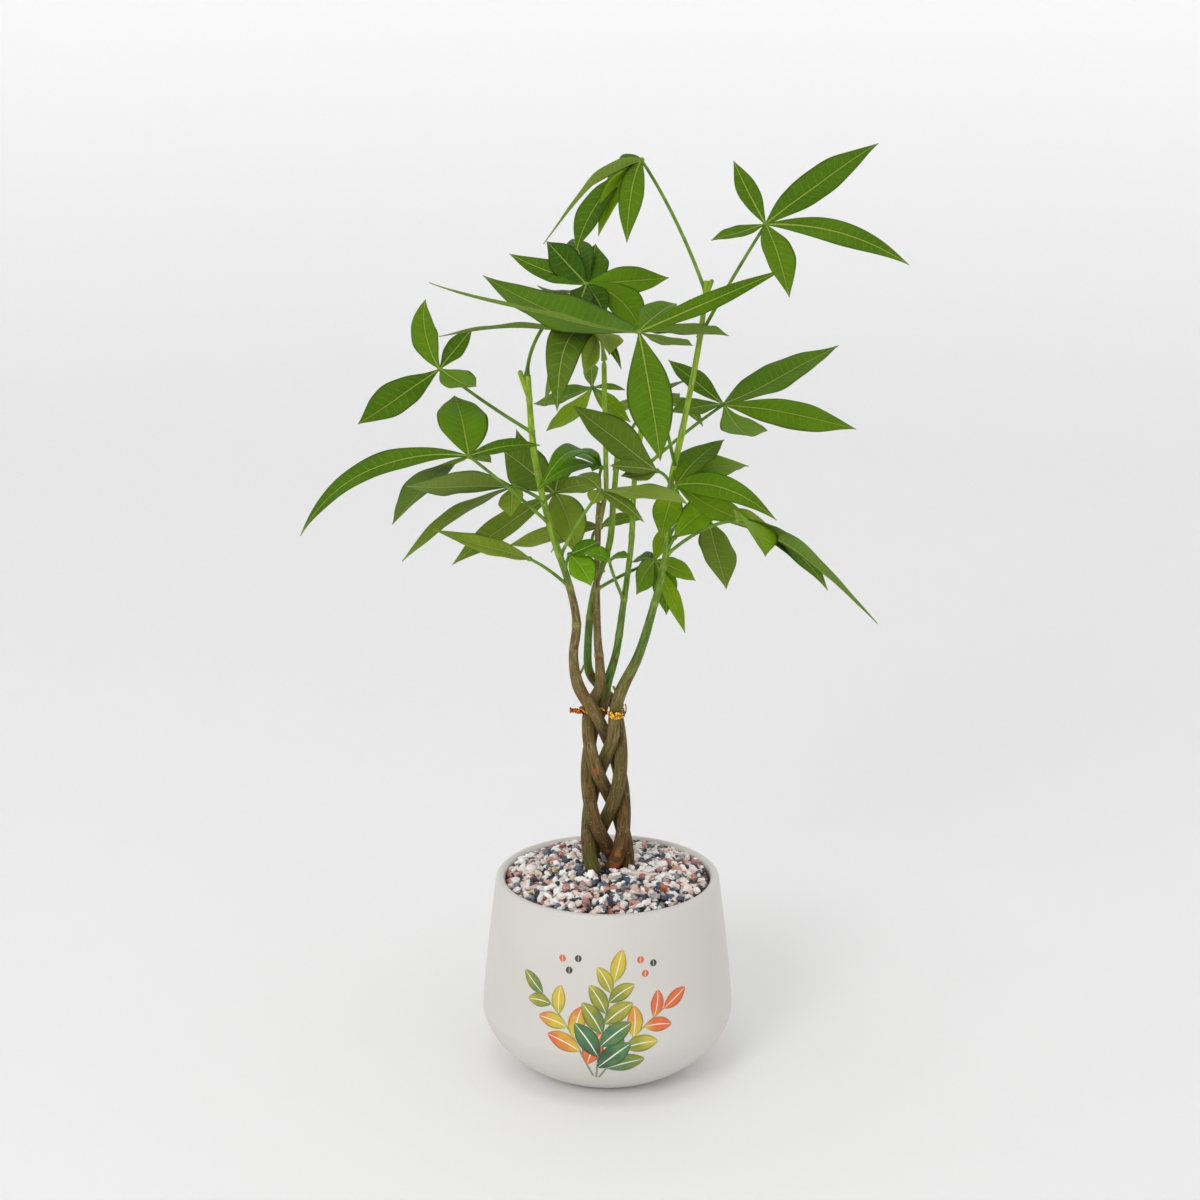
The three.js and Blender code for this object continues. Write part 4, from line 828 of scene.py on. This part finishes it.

# ---------------------------------------------------------------------------- leaves
# Palmate leaves: a thin stalk, a small knob, and soft pointed leaflets that spread from it. A
# leaflet is creased along its midrib, puckered between its side veins, and waved at its edges.

# Each leaf: how green it is; where its upper side looks (heading, rise); its stalk's start, a
# point it passes and the knob; and its leaflets. A leaflet is its heading, rise, length, width,
# droop at each end, roll about the midrib, the share of its length where it is widest, and how
# light its green is, 0 to 1 or a little past either: partly its own tone and partly painted light,
# low as painted shade for leaflets deep in the foliage and past 1 as a painted glow of light
# shining through. Angles are in degrees.
LEAVES = {
    "crown_top": ("mature", (285, 60), ((59, 1, 505), (41, 5, 547), (20, 12, 583.1)), [
        (237, -20, 113, 20, 16, 70, 0.44, 0.89), (217, -46, 70, 20, 22, 19, 0.65, 0.17),
        (230, -46, 58, 13, 24, 10, 0.5, 1.13), (255, -53, 57, 15, 34, -2, 0.51, 0.57),
        (139, -38, 41, 22, 16, -19, 0.44, 0.29),
    ]),
    "upper_right": ("mature", (277, 30), ((56, 0, 479), (73.5, -12, 513.7), (92.9, -22, 548.6)), [
        (28, 29, 90, 22, 4, -18, 0.46, 0.27), (354, -15, 88, 14, 18, 27, 0.5, 0.37),
        (284, -37, 60, 20, 9, -12, 0.47, 0.54), (217, -9, 42, 12, 0, 30, 0.53, 0.41),
        (141, 56, 43, 13, -3, -8, 0.52, 0.26),
    ]),
    "mid_right": ("mature", (277, 37), ((16.5, 5, 390), (45.2, 30, 410), (73.6, 56, 425.6)), [
        (40, 15, 106, 28, -4, -29, 0.44, 0.4), (16, -13, 93, 21, 6, 56, 0.5, 0.69),
        (284, 0, 82, 26, -25, -5, 0.54, 0.84), (215, 0, 42, 16, 3, 22, 0.57, 0.32),
        (142, 29, 50, 16, -2, 10, 0.53, 0.26),
    ]),
    "crown_left": ("mature", (270, 41), ((-49.3, -2, 455.8), (-40, 12, 482), (-13.2, 24, 506.6)), [
        (138, 35, 41, 20, 1, -28, 0.49, -0.3), (100, 22, 57, 18, 15, 2, 0.54, 0),
        (81, 30, 41, 22, -13, 1, 0.47, 0.18), (153, 16, 56, 15, -5, -2, 0.47, 0.26),
        (18, 2, 54, 19, -2, 12, 0.48, 0.81), (351, -40, 44, 22, 30, 6, 0.6, 0.67),
        (124, -7, 56, 11, -22, 34, 0.51, 0), (258, -25, 34, 15, 0, 0, 0.5, -0.19),
        (305, -40, 26, 16, 10, 0, 0.5, -0.03),
    ]),
    "crown_middle": ("olive", (270, 45), ((-2.5, -2, 465.8), (-4.5, -1, 478), (-6.7, 2, 479.6)), [
        (246, -33, 69, 23, 55, 0, 0.48, 0.06), (260, -21, 48, 13, 8, -37, 0.53, 1.8),
        (279, -5, 49, 23, 22, -31, 0.52, 1.57), (295, -25, 38, 6, 21, -2, 0.5, 0.06),
        (195, 2, 98, 20, 8, 58, 0.58, 0.19), (133, -47, 70, 14, 30, 0, 0.5, 0.7),
    ]),
    "big_centre": ("mature", (275, 53), ((41, -2, 399), (31, -42, 444), (17.7, -62, 491.1)), [
        (136, 9, 133, 36, -14, 7, 0.44, 0.37), (199, 16, 130, 18, -7, 46, 0.5, 0.67),
        (25, 18, 101, 11, 0, 32, 0.45, 0.43), (49, -9, 86, 23, 5, -53, 0.5, 0.42),
        (61, -15, 72, 15, -4, -45, 0.6, 0.5), (290, -63, 78, 27, 6, 23, 0.53, 0.41),
        (66, 8, 58, 20, 10, 0, 0.5, 0.6),
    ]),
    "upper_left": ("mature", (265, 30), ((-47, -3, 420), (-76.5, 14, 435.6), (-104.6, 34, 452.4)), [
        (154, 78, 44, 20, -25, -30, 0.5, 0.6), (26, 46, 32, 14, 3, -10, 0.53, 0.14),
        (295, -1, 60, 19, -8, -18, 0.52, 0.73), (218, -24, 67, 24, -2, 8, 0.56, 0.28),
    ]),
    "left_long": ("mature", (265, 53), ((-36, -4, 362), (-58.9, -25, 388.5), (-83, -46, 414)), [
        (178, -26, 114, 17, 32, 0, 0.48, 0.27), (128, -34, 103, 29, 10, 44, 0.46, 0.16),
        (101, 23, 66, 31, 11, 12, 0.44, 0.59), (19, 5, 45, 11, 10, 2, 0.5, 0.19),
        (74, -16, 43, 11, -2, -28, 0.5, 0.45),
    ]),
    "left_pair": ("olive", (262, 60), ((-40, -4, 377), (-50, 0, 382), (-58.7, 6, 383.8)), [
        (224, 9, 86, 24, 1, 69, 0.51, -0.3), (214, -24, 88, 18, 11, 22, 0.51, 0.66),
        (268, -32, 26, 17, 0, 19, 0.5, 1.02),
    ]),
    "left_back": ("olive", (270, 45), ((-38, -4, 372), (-40, 22, 372), (-33.5, 44, 370.6)), [
        (135, 23, 51, 28, 5, -23, 0.53, 0.14), (119, 31, 62, 19, -25, -4, 0.51, 0.05),
        (200, -31, 80, 19, 5, 7, 0.53, 0.73), (288, -34, 54, 24, 25, 0, 0.5, 1.05),
        (48, -4, 42, 15, 15, 0, 0.5, 1.13), (77, 19, 50, 17, 25, 0, 0.5, 0.37),
    ]),
    "middle_left": ("young", (270, 65), ((-5.6, -2, 366), (-6, 9, 382), (-4, 18, 393)), [
        (241, 4, 70, 16, 40, 0, 0.5, 0.15), (222, -8, 54, 14, 30, 0, 0.5, 0.33),
        (120, -5, 46, 14, 30, 0, 0.5, 0.05), (255, 6, 22, 11, 20, 0, 0.5, 0.37),
    ]),
    "centre_front": ("olive", (277, 40), ((39, -2, 382), (36, -16, 394), (29.4, -26, 400.6)), [
        (182, 39, 65, 27, -2, 13, 0.5, 0.25), (227, 13, 43, 10, 4, -5, 0.56, 0.28),
        (225, 3, 31, 11, -5, 0, 0.5, 0.3),
    ]),
    "right_fan": ("mature", (288, 50), ((38.5, -2, 369), (42, -9, 380), (41.9, -14, 389)), [
        (54, 20, 56, 22, 16, -26, 0.43, 0.49), (47, 1, 69, 27, 17, -12, 0.38, 1.08),
        (318, -7, 78, 16, 23, 40, 0.38, 0.64), (340, -22, 55, 21, -9, -4, 0.48, 0.95),
        (235, -60, 34, 18, 12, 0, 0.5, 1.01),
    ]),
    "right_long": ("mature", (283, 65), ((37.5, -2, 343), (58, -22, 363), (77, -44, 374)), [
        (312, -19, 122, 23, 14, -63, 0.42, 0.2), (332, -31, 70, 17, 25, -2, 0.54, 0.23),
        (285, -8, 57, 33, 29, -31, 0.55, 1.03),
    ]),
    "right_hanging": ("olive", (277, 45), ((38, -2, 352), (46, 20, 358), (63.4, 34, 355.9)), [
        (282, -35, 58, 24, -2, -14, 0.47, 0.68), (25, -24, 56, 14, 30, 0, 0.5, 0.99),
        (75, 24, 50, 16, 20, 0, 0.5, 0.93),
    ]),
    "young_shoot": ("young", (277, 37), ((37, -2, 346), (39, -5, 350), (41, -6, 354)), [
        (15, 36, 40, 20, 10, 0, 0.5, 1.03),
    ]),
    "low_shoot": ("young", (270, 50), ((-26.5, -5, 333), (-25.6, -8, 339), (-23.5, -9, 344)), [
        (345, 26, 21, 12, 0, 0, 0.5, 0.02), (322, -46, 24, 18, 15, 0, 0.5, 0.97),
    ]),
    "low_right": ("mature", (278, 45), ((-6.5, -2, 320), (10, 22, 323), (30.1, 42, 326.9)), [
        (14, -29, 31, 15, 10, -5, 0.51, 1.06), (328, -63, 50, 12, 4, -12, 0.51, 1.15),
        (249, -23, 36, 17, 23, -44, 0.58, 0.9), (125, -16, 27, 13, 21, 8, 0.5, 0.08),
        (55, -70, 42, 18, 20, 0, 0.5, 0.6), (70, 30, 34, 11, 10, 0, 0.5, 1.4),
    ]),
    "low_front": ("young", (270, 70), ((9.5, 6, 312), (4, -12, 330), (0.7, -24, 344.2)), [
        (174, 14, 16, 15, 20, 0, 0.45, 0.63), (344, 12, 14, 12, 20, -10, 0.5, 0.16),
        (120, 10, 18, 9, 20, 0, 0.5, 0.47),
    ]),
    "low_middle": ("olive", (270, 60), ((-4, 6.5, 330), (-10, 16, 346), (-4.7, 24, 353.2)), [
        (153, -16, 69, 15, 3, -10, 0.62, 1.21), (150, -30, 42, 16, 25, 0, 0.5, 0.82),
        (20, 5, 28, 11, 20, 0, 0.5, 0.8),
    ]),
    "low_left": ("olive", (260, 63), ((-24, -5, 322), (-36, -10, 334), (-48.4, -14, 342.6)), [
        (201, 21, 66, 17, -1, -4, 0.41, 1.14),
    ]),
    "front_centre": ("olive", (270, 60), ((-29, -5, 343), (-18, -24, 368), (-4.4, -38, 391)), [
        (306, 5, 85, 26, 6, -12, 0.52, 1.02), (300, -10, 52, 9, 8, 30, 0.48, 0.44),
        (120, 3, 32, 13, 25, 0, 0.5, 0.69), (242, -32, 12, 12, 18, 0, 0.5, 0.89),
    ]),
    "back_small": ("mature", (270, 45), ((6.5, 9, 412), (0, 30, 428), (-9.7, 46, 438.3)), [
        (148, -18, 47, 20, -6, 18, 0.51, 0.66), (235, -22, 53, 16, -14, 19, 0.54, 1.28),
        (91, 15, 34, 10, 6, -25, 0.57, 0.9), (367, -5, 21, 6, 12, -11, 0.56, 0.75),
        (336, -37, 33, 12, -6, 5, 0.5, 1.28),
    ]),
    "back_crown": ("mature", (90, 60), ((5, 9, 395), (14, 36, 412), (27, 58, 426)), [
        (57, 7, 52, 16, 15, 0, 0.5, 0.13), (72, -12, 62, 18, 20, 0, 0.5, 0.19),
        (122, -19, 44, 16, 15, 0, 0.5, 0.86), (96, 10, 58, 18, 20, 0, 0.5, 0.15),
        (30, -25, 44, 15, 30, 0, 0.5, 0.31),
    ]),
}

ROW_SPACING, LEAST_ROWS = 1.2, 14  # of the rows of points along a blade or a stalk
BLADE_COLUMNS = 15  # points across its upper side
BLADE_FOLD = 0.2  # rise of the margins above the midrib, per unit of half width
VEIN_SPACING, VEIN_DEPTH = 5.2, 0.13
BLADE_THICKNESS, MIDRIB_THICKNESS = 0.34, 0.75
STALK_RADII = (1.15, 0.95)
STALK_SIDES, STALK_ROOT = 12, 1.8  # and how deep its start lies in the stem
KNOB_RADIUS, KNOB_ROWS, KNOB_SIDES = 1.9, 9, 14
LEAF_MARKS = ("rib", "vein", "margin", "along", "shade")
TOP, UNDERSIDE, STALK = 0, 1, 2  # a leaf's three finishes
luck = np.random.default_rng(44)


def direction(heading, rise):
    """The unit vector of a heading (0 is +X, 90 the back) and a rise above the horizontal."""
    h, r = math.radians(heading), math.radians(rise)
    return around(math.cos(r), h, math.sin(r))


def even(control, steps):
    """A quadratic bend of three points resampled evenly along its length, and its tangents."""
    line, _ = evenly(bend(*control, 200), steps)
    return line, unit(np.gradient(line, axis=0))


def leaflet(hub, faces, heading, rise, length, width, droop, roll, full, shade):
    """A closed thin blade. Its midrib is a quadratic bend that arches up by droop at each end.
    Half its width falls from 0.55 to 0.2 mm, plus (width / 2 - 0.4) sin(pi u^k)^1.1, where k puts
    the widest place at full, and is rippled. Across, it rises from the midrib as a shallow V with
    swollen halves, sinks at each side vein, and waves towards the margin. The underside is a
    thickness below, plus the round midrib. With a the share of the way to the margin, vein
    counts the side veins: (along - half width (0.35a + 0.3a^3)) / spacing."""
    along = direction(heading, rise)

    def across(vector):
        return unit(vector - np.dot(vector, along) * along)

    facing, turn = across(direction(*faces)), math.radians(roll)
    facing = facing * math.cos(turn) + np.cross(along, facing) * math.sin(turn)
    arch = length / 2 * math.tan(math.radians(droop))
    hub = np.asarray(hub, float)
    middle = hub + along * length / 2 + across(np.array([0, 0, 1.0])) * arch
    rows = LEAST_ROWS + int(length / ROW_SPACING)
    line, tangent = even((hub, middle, hub + along * length), rows)
    aside = unit(np.cross(tangent, facing))
    out = np.cross(aside, tangent)

    phase = luck.uniform(0, 2 * np.pi, 6)
    u = np.linspace(0, 1, rows)[:, None]
    turns = 2 * np.pi * u
    sweep = np.linspace(-1, 1, BLADE_COLUMNS)
    upper = np.sign(sweep) * np.abs(sweep) ** 1.25  # closer together at the midrib
    v = np.concatenate([upper, upper[-2:0:-1]])
    a, side = np.abs(v), np.sign(v)
    below = np.arange(len(v)) >= BLADE_COLUMNS
    k = math.log(0.5) / math.log(full)
    outline = np.sin(np.pi * u**k).clip(0) ** 1.1 * (1 - 0.25 * u**9)
    ripple = 1 + 0.03 * np.sin(1.7 * turns + phase[0] + 2 * side) * smooth_step(u, 0.1, 0.4)
    half = 0.55 - 0.35 * u + (width / 2 - 0.4) * outline * ripple
    vein = (u * length - half * (0.35 * a + 0.3 * a**3)) / VEIN_SPACING + phase[4]
    wave = np.sin(2.1 * turns + phase[1] + side) + 0.6 * np.sin(3.7 * turns + phase[2])
    surface = half * (BLADE_FOLD * (a + 0.45 * a * (1 - a)) + 0.045 * a**2 * wave)
    puckered = smooth_step(a, 0.02, 0.3) * (1 - a**4) * smooth_step(half, 1.5, 5)
    surface = surface - VEIN_DEPTH * np.cos(2 * np.pi * vein) * puckered
    rib = (MIDRIB_THICKNESS - 0.6 * u) * np.exp(-((a * half / 0.8) ** 2))
    thickness = (BLADE_THICKNESS + rib) * (1 - a**8) + 0.5 * smooth_step(u, 0.06, 0.0)
    sway = 0.01 * length * np.sin(0.9 * turns + phase[3]) * smooth_step(u, 0.1, 0.5)
    lift = surface + np.where(below, -0.7, 0.3) * thickness * (a < 1) + sway
    rings = line[:, None] + aside[:, None] * (v * half)[..., None] + out[:, None] * lift[..., None]
    values = (a * half, vein, a + 0 * u, u + 0 * v, shade + 0 * half)
    sides = np.where(np.roll(below, -1) | below, UNDERSIDE, TOP)
    return closed(rings, finish=sides, **dict(zip(LEAF_MARKS, values)))


def round_skin(line, girth, sides, *upright):
    """A round part of a leaf's stalk, with zero for the marks that leaflets carry."""
    marks = dict.fromkeys(LEAF_MARKS, np.zeros((len(line), sides)))
    return closed(tube(line, girth, sides, *upright), finish=STALK, **marks)


def leaf_stalk(start, by, hub):
    """A thin round stalk: a quadratic bend through by that sets out inside the stem, thicker
    there by 0.8 exp(-(way / 3.6)^2), and a flattened knob at its end where the leaflets meet."""
    start, by, hub = (np.asarray(p, float) for p in (start, by, hub))
    control = 2 * by - (start + hub) / 2
    root = start - STALK_ROOT * unit(control - start)
    reach = np.linalg.norm(hub - root)
    steps = max(LEAST_ROWS, int(reach / ROW_SPACING))
    line, tangent = even((root, control, hub), steps)
    swelling = 0.8 * np.exp(-((np.linspace(0, reach, steps) / 3.6) ** 2))
    girth = np.linspace(*STALK_RADII, steps) + swelling
    upright = np.eye(3)[np.argmin(np.abs(tangent.mean(0)))]
    polar = np.radians(np.linspace(8, 172, KNOB_ROWS))
    ball = np.column_stack([0 * polar, 0 * polar, -np.cos(polar)]) * KNOB_RADIUS * 0.85 + hub
    knob = round_skin(ball, KNOB_RADIUS * np.sin(polar), KNOB_SIDES)
    return [round_skin(line, girth, STALK_SIDES, upright), knob]


def leaf_skin(name, greens, rib_colour, roughness, depth):
    """A leaf's waxy skin. Its green goes from leaflet to leaflet by each leaflet's shade, which is
    partly its own tone and partly painted light: painted shade for leaflets deep in the foliage,
    and a painted glow, past 1, for leaflets that light shines through. It drifts over 25 mm. Faint
    side veins stand 5 mm apart, a net of 2 mm meshes lies between them, the midrib is pale with
    painted shade of its groove darkening each side of it, the very margin is darker and the tip is
    dry. depth, negative where veins stand proud, is that of their relief."""
    inputs = {"IOR": 1.4, "Specular IOR Level": 0.1, "Roughness": roughness}
    finish, tree, shader = new_finish(name, inputs)
    marks = (add(tree, "Attribute", attribute_name=mark).outputs["Fac"] for mark in LEAF_MARKS)
    rib, vein, margin, along, shade = marks
    place = add(tree, "TexCoord").outputs["Object"]
    drift = add(tree, "TexNoise", {"Vector": place, "Scale": 1 / (25 * MM), "Detail": 2.0})
    # shade is partly each leaflet's own tone and partly painted light: painted shade when low,
    # painted glow of light through the leaf above 1.
    tone = add(tree, "Math", {0: drift, 1: 0.5, 2: shade}, operation="MULTIPLY_ADD")
    tone = add(tree, "MapRange", {"Value": tone, "From Min": 0.2, "From Max": 1.8})
    colour = add(tree, "ValToRGB", {0: tone}, list(zip((0.0, 0.6, 1.0), greens)))

    wander = add(tree, "TexNoise", {"Vector": place, "Scale": 1 / (6 * MM), "Detail": 1.0})
    count = add(tree, "Math", {0: wander, 1: 0.35, 2: vein}, operation="MULTIPLY_ADD")
    off_vein = add(tree, "Math", {0: count, 1: 0.5}, operation="PINGPONG")
    meshes = {"Vector": place, "Scale": 1 / (1.9 * MM)}
    off_net = add(tree, "TexVoronoi", meshes, feature="DISTANCE_TO_EDGE")
    reach = add(tree, "MapRange", {"Value": along, "To Min": 0.7, "To Max": 0.3})
    off_rib = add(tree, "Math", {0: rib, 1: reach}, operation="DIVIDE")
    # What each of these follows, where it is nil and where it is full.
    spans = [(off_vein, 0.1, 0.0), (margin, 0.95, 0.5), (off_net, 0.09, 0.0), (off_rib, 1.0, 0.4)]
    spans += [(off_rib, 3.0, 1.2), (margin, 0.93, 1.0), (along, 0.975, 1.0)]
    line, inner, net, ridge, rib_groove_shade, edge, tip = (
        add(tree, "MapRange", {"Value": value, "From Min": nil, "From Max": all_of_it})
        for value, nil, all_of_it in spans
    )
    line = add(tree, "Math", {0: line, 1: inner}, operation="MULTIPLY")
    # The dark band on each side of the midrib is painted shade of its groove.
    layers = [(rib_groove_shade, 0.22, "#1d3206"), (net, 0.06, rib_colour), (line, 0.16, rib_colour)]
    layers += [(edge, 0.3, "#24380a"), (tip, 0.7, "#86702c"), (ridge, 0.62, rib_colour)]
    for where, strength, hue in layers:
        amount = add(tree, "Math", {0: where, 1: strength}, operation="MULTIPLY")
        colour = add(tree, "MixRGB", {"Fac": amount, "Color1": colour, "Color2": hue})
    lines = add(tree, "Math", {0: net, 1: 0.3, 2: line}, operation="MULTIPLY_ADD")
    relief = {"Height": lines, "Strength": abs(depth), "Distance": 0.25 * MM}
    relief = add(tree, "Bump", relief, invert=depth > 0)
    connect(tree, shader, {"Base Color": colour, "Normal": relief})
    return finish


def stalk_skin():
    """Smooth green leaf stalk, a little browner in places."""
    finish, tree, shader = new_finish("Smooth green leaf stalk", {"Roughness": 0.45, "IOR": 1.4})
    place = add(tree, "TexCoord").outputs["Object"]
    drift = add(tree, "TexNoise", {"Vector": place, "Scale": 1 / (12 * MM), "Detail": 3.0})
    stops = [(0.35, "#4c7010"), (0.55, "#68901c"), (0.75, "#8ba53c")]
    connect(tree, shader, {"Base Color": add(tree, "ValToRGB", {0: drift}, stops)})
    return finish


# Greens from dark to light, the midrib's colour, roughness, and depth of the veins' relief.
SKINS = {
    "Mature leaf upper skin": (["#34560a", "#62890e", "#8fae0c"], "#a3b44e", 0.5, 0.6),
    "Mature leaf underside": (["#557524", "#7f9a38", "#9cb53a"], "#aebd6a", 0.65, -0.4),
    "Olive leaf upper skin": (["#4c6816", "#748c28", "#98ae30"], "#aab868", 0.5, 0.6),
    "Olive leaf underside": (["#6f8636", "#8a9a4a", "#9aac4c"], "#b4bf78", 0.65, -0.4),
    "Young leaf upper skin": (["#44740a", "#6c9c12", "#a2c41a"], "#a8c456", 0.45, 0.4),
    "Young leaf underside": (["#64902a", "#82ac3c", "#a0bc40"], "#b0c86c", 0.6, -0.3),
}
stalk_green = stalk_skin()
skins_made = [leaf_skin(name, *look) for name, look in SKINS.items()]
LOOKS = {
    look: [*skins_made[2 * number : 2 * number + 2], stalk_green]
    for number, look in enumerate(("mature", "olive", "young"))
}

for name, (look, faces, stalk, rows) in LEAVES.items():
    skins = leaf_stalk(*stalk) + [leaflet(stalk[-1], faces, *row) for row in rows]
    make_piece(f"money_leaf_{name}", skins, LOOKS[look], [f"leaf_{name}"])

# ---------------------------------------------------------------------------- studio
# A round pale sweep that curves up all about the plant, so that every side has the same plain
# ground, under an open top with soft lights. The camera stands where the photograph's did.

SWEEP_RADIUS, SWEEP_BEND, SWEEP_TOP = 3400, 1400, 3600
PAPER_THICKNESS = 40
GLOW, GLOW_TOP = (0.02, 0.27), 0.9  # of the paper, at the floor and at that many metres up
DAYLIGHT = 0.66
LAMP_AIM = (0, 0, 0.3)


def lit_paper():
    """Matt white paper, and the glow of the lamps behind it, which grows from floor to wall."""
    inputs = {"Base Color": "#f2f2f2", "Roughness": 0.9, "Emission Color": "#ffffff"}
    finish, tree, shader = new_finish("Matt white background paper", inputs)
    height = add(tree, "SeparateXYZ", {0: add(tree, "TexCoord").outputs["Object"]}).outputs["Z"]
    rise = {"Value": height, "From Max": GLOW_TOP, "To Min": GLOW[0], "To Max": GLOW[1]}
    connect(tree, shader, {"Emission Strength": add(tree, "MapRange", rise)})
    return finish


flat_end, outer, pole = SWEEP_RADIUS - SWEEP_BEND, SWEEP_RADIUS + PAPER_THICKNESS, 0.5
floor = [[pole, 0], [800, 0], [flat_end, 0]]
curve = arc((flat_end, SWEEP_BEND), (SWEEP_BEND, SWEEP_BEND), -90, 0, 24)
back = [[SWEEP_RADIUS, SWEEP_TOP], [outer, SWEEP_TOP], [outer, -PAPER_THICKNESS]]
sweep = np.concatenate([floor, curve[1:], back, [[pole, -PAPER_THICKNESS]]])
ground = make_piece("studio_sweep", [closed(turned(sweep, 96))], [lit_paper()])
ground.parent = None  # it stands still, and is no part of the plant

world = bpy.data.worlds.new("Soft studio daylight")
bpy.context.scene.world = world
world.use_nodes = True
daylight = {"Color": "#f7f7f7", "Strength": DAYLIGHT}
connect(world.node_tree, world.node_tree.nodes["Background"], daylight)

# Name, place and size in metres, power in watts.
SOFTBOXES = [
    ("overhead_softbox", (-0.3, -0.7, 2.6), 0.7, 4),
    ("front_left_softbox", (-1.15, -2.25, 1.8), 1.1, 18),
]
for name, place, size, power in SOFTBOXES:
    light = bpy.data.lights.new(name, "AREA")
    light.shape, light.size, light.energy = "DISK", size, power
    lamp = bpy.data.objects.new(name, light)
    bpy.context.scene.collection.objects.link(lamp)
    lamp.location = place
    x, y, z = np.subtract(LAMP_AIM, place)
    lamp.rotation_euler = (math.acos(-z / math.hypot(x, y, z)), 0, math.atan2(y, x) - math.pi / 2)

PHOTO_SIZE, FOCAL_PIXELS = 1200, 2469  # of the photograph, in its own pixels
CAMERA_PLACE, CAMERA_TILT = (-0.0049, -1.487, 0.722), 74.6  # 90 would look level
camera = bpy.data.objects.new("camera", bpy.data.cameras.new("camera"))
bpy.context.scene.collection.objects.link(camera)
camera.location = CAMERA_PLACE
camera.rotation_euler = (math.radians(CAMERA_TILT), 0, 0)
camera.data.angle = 2 * math.atan(PHOTO_SIZE / 2 / FOCAL_PIXELS)
bpy.context.scene.camera = camera
bpy.context.scene.view_settings.view_transform = "Standard"
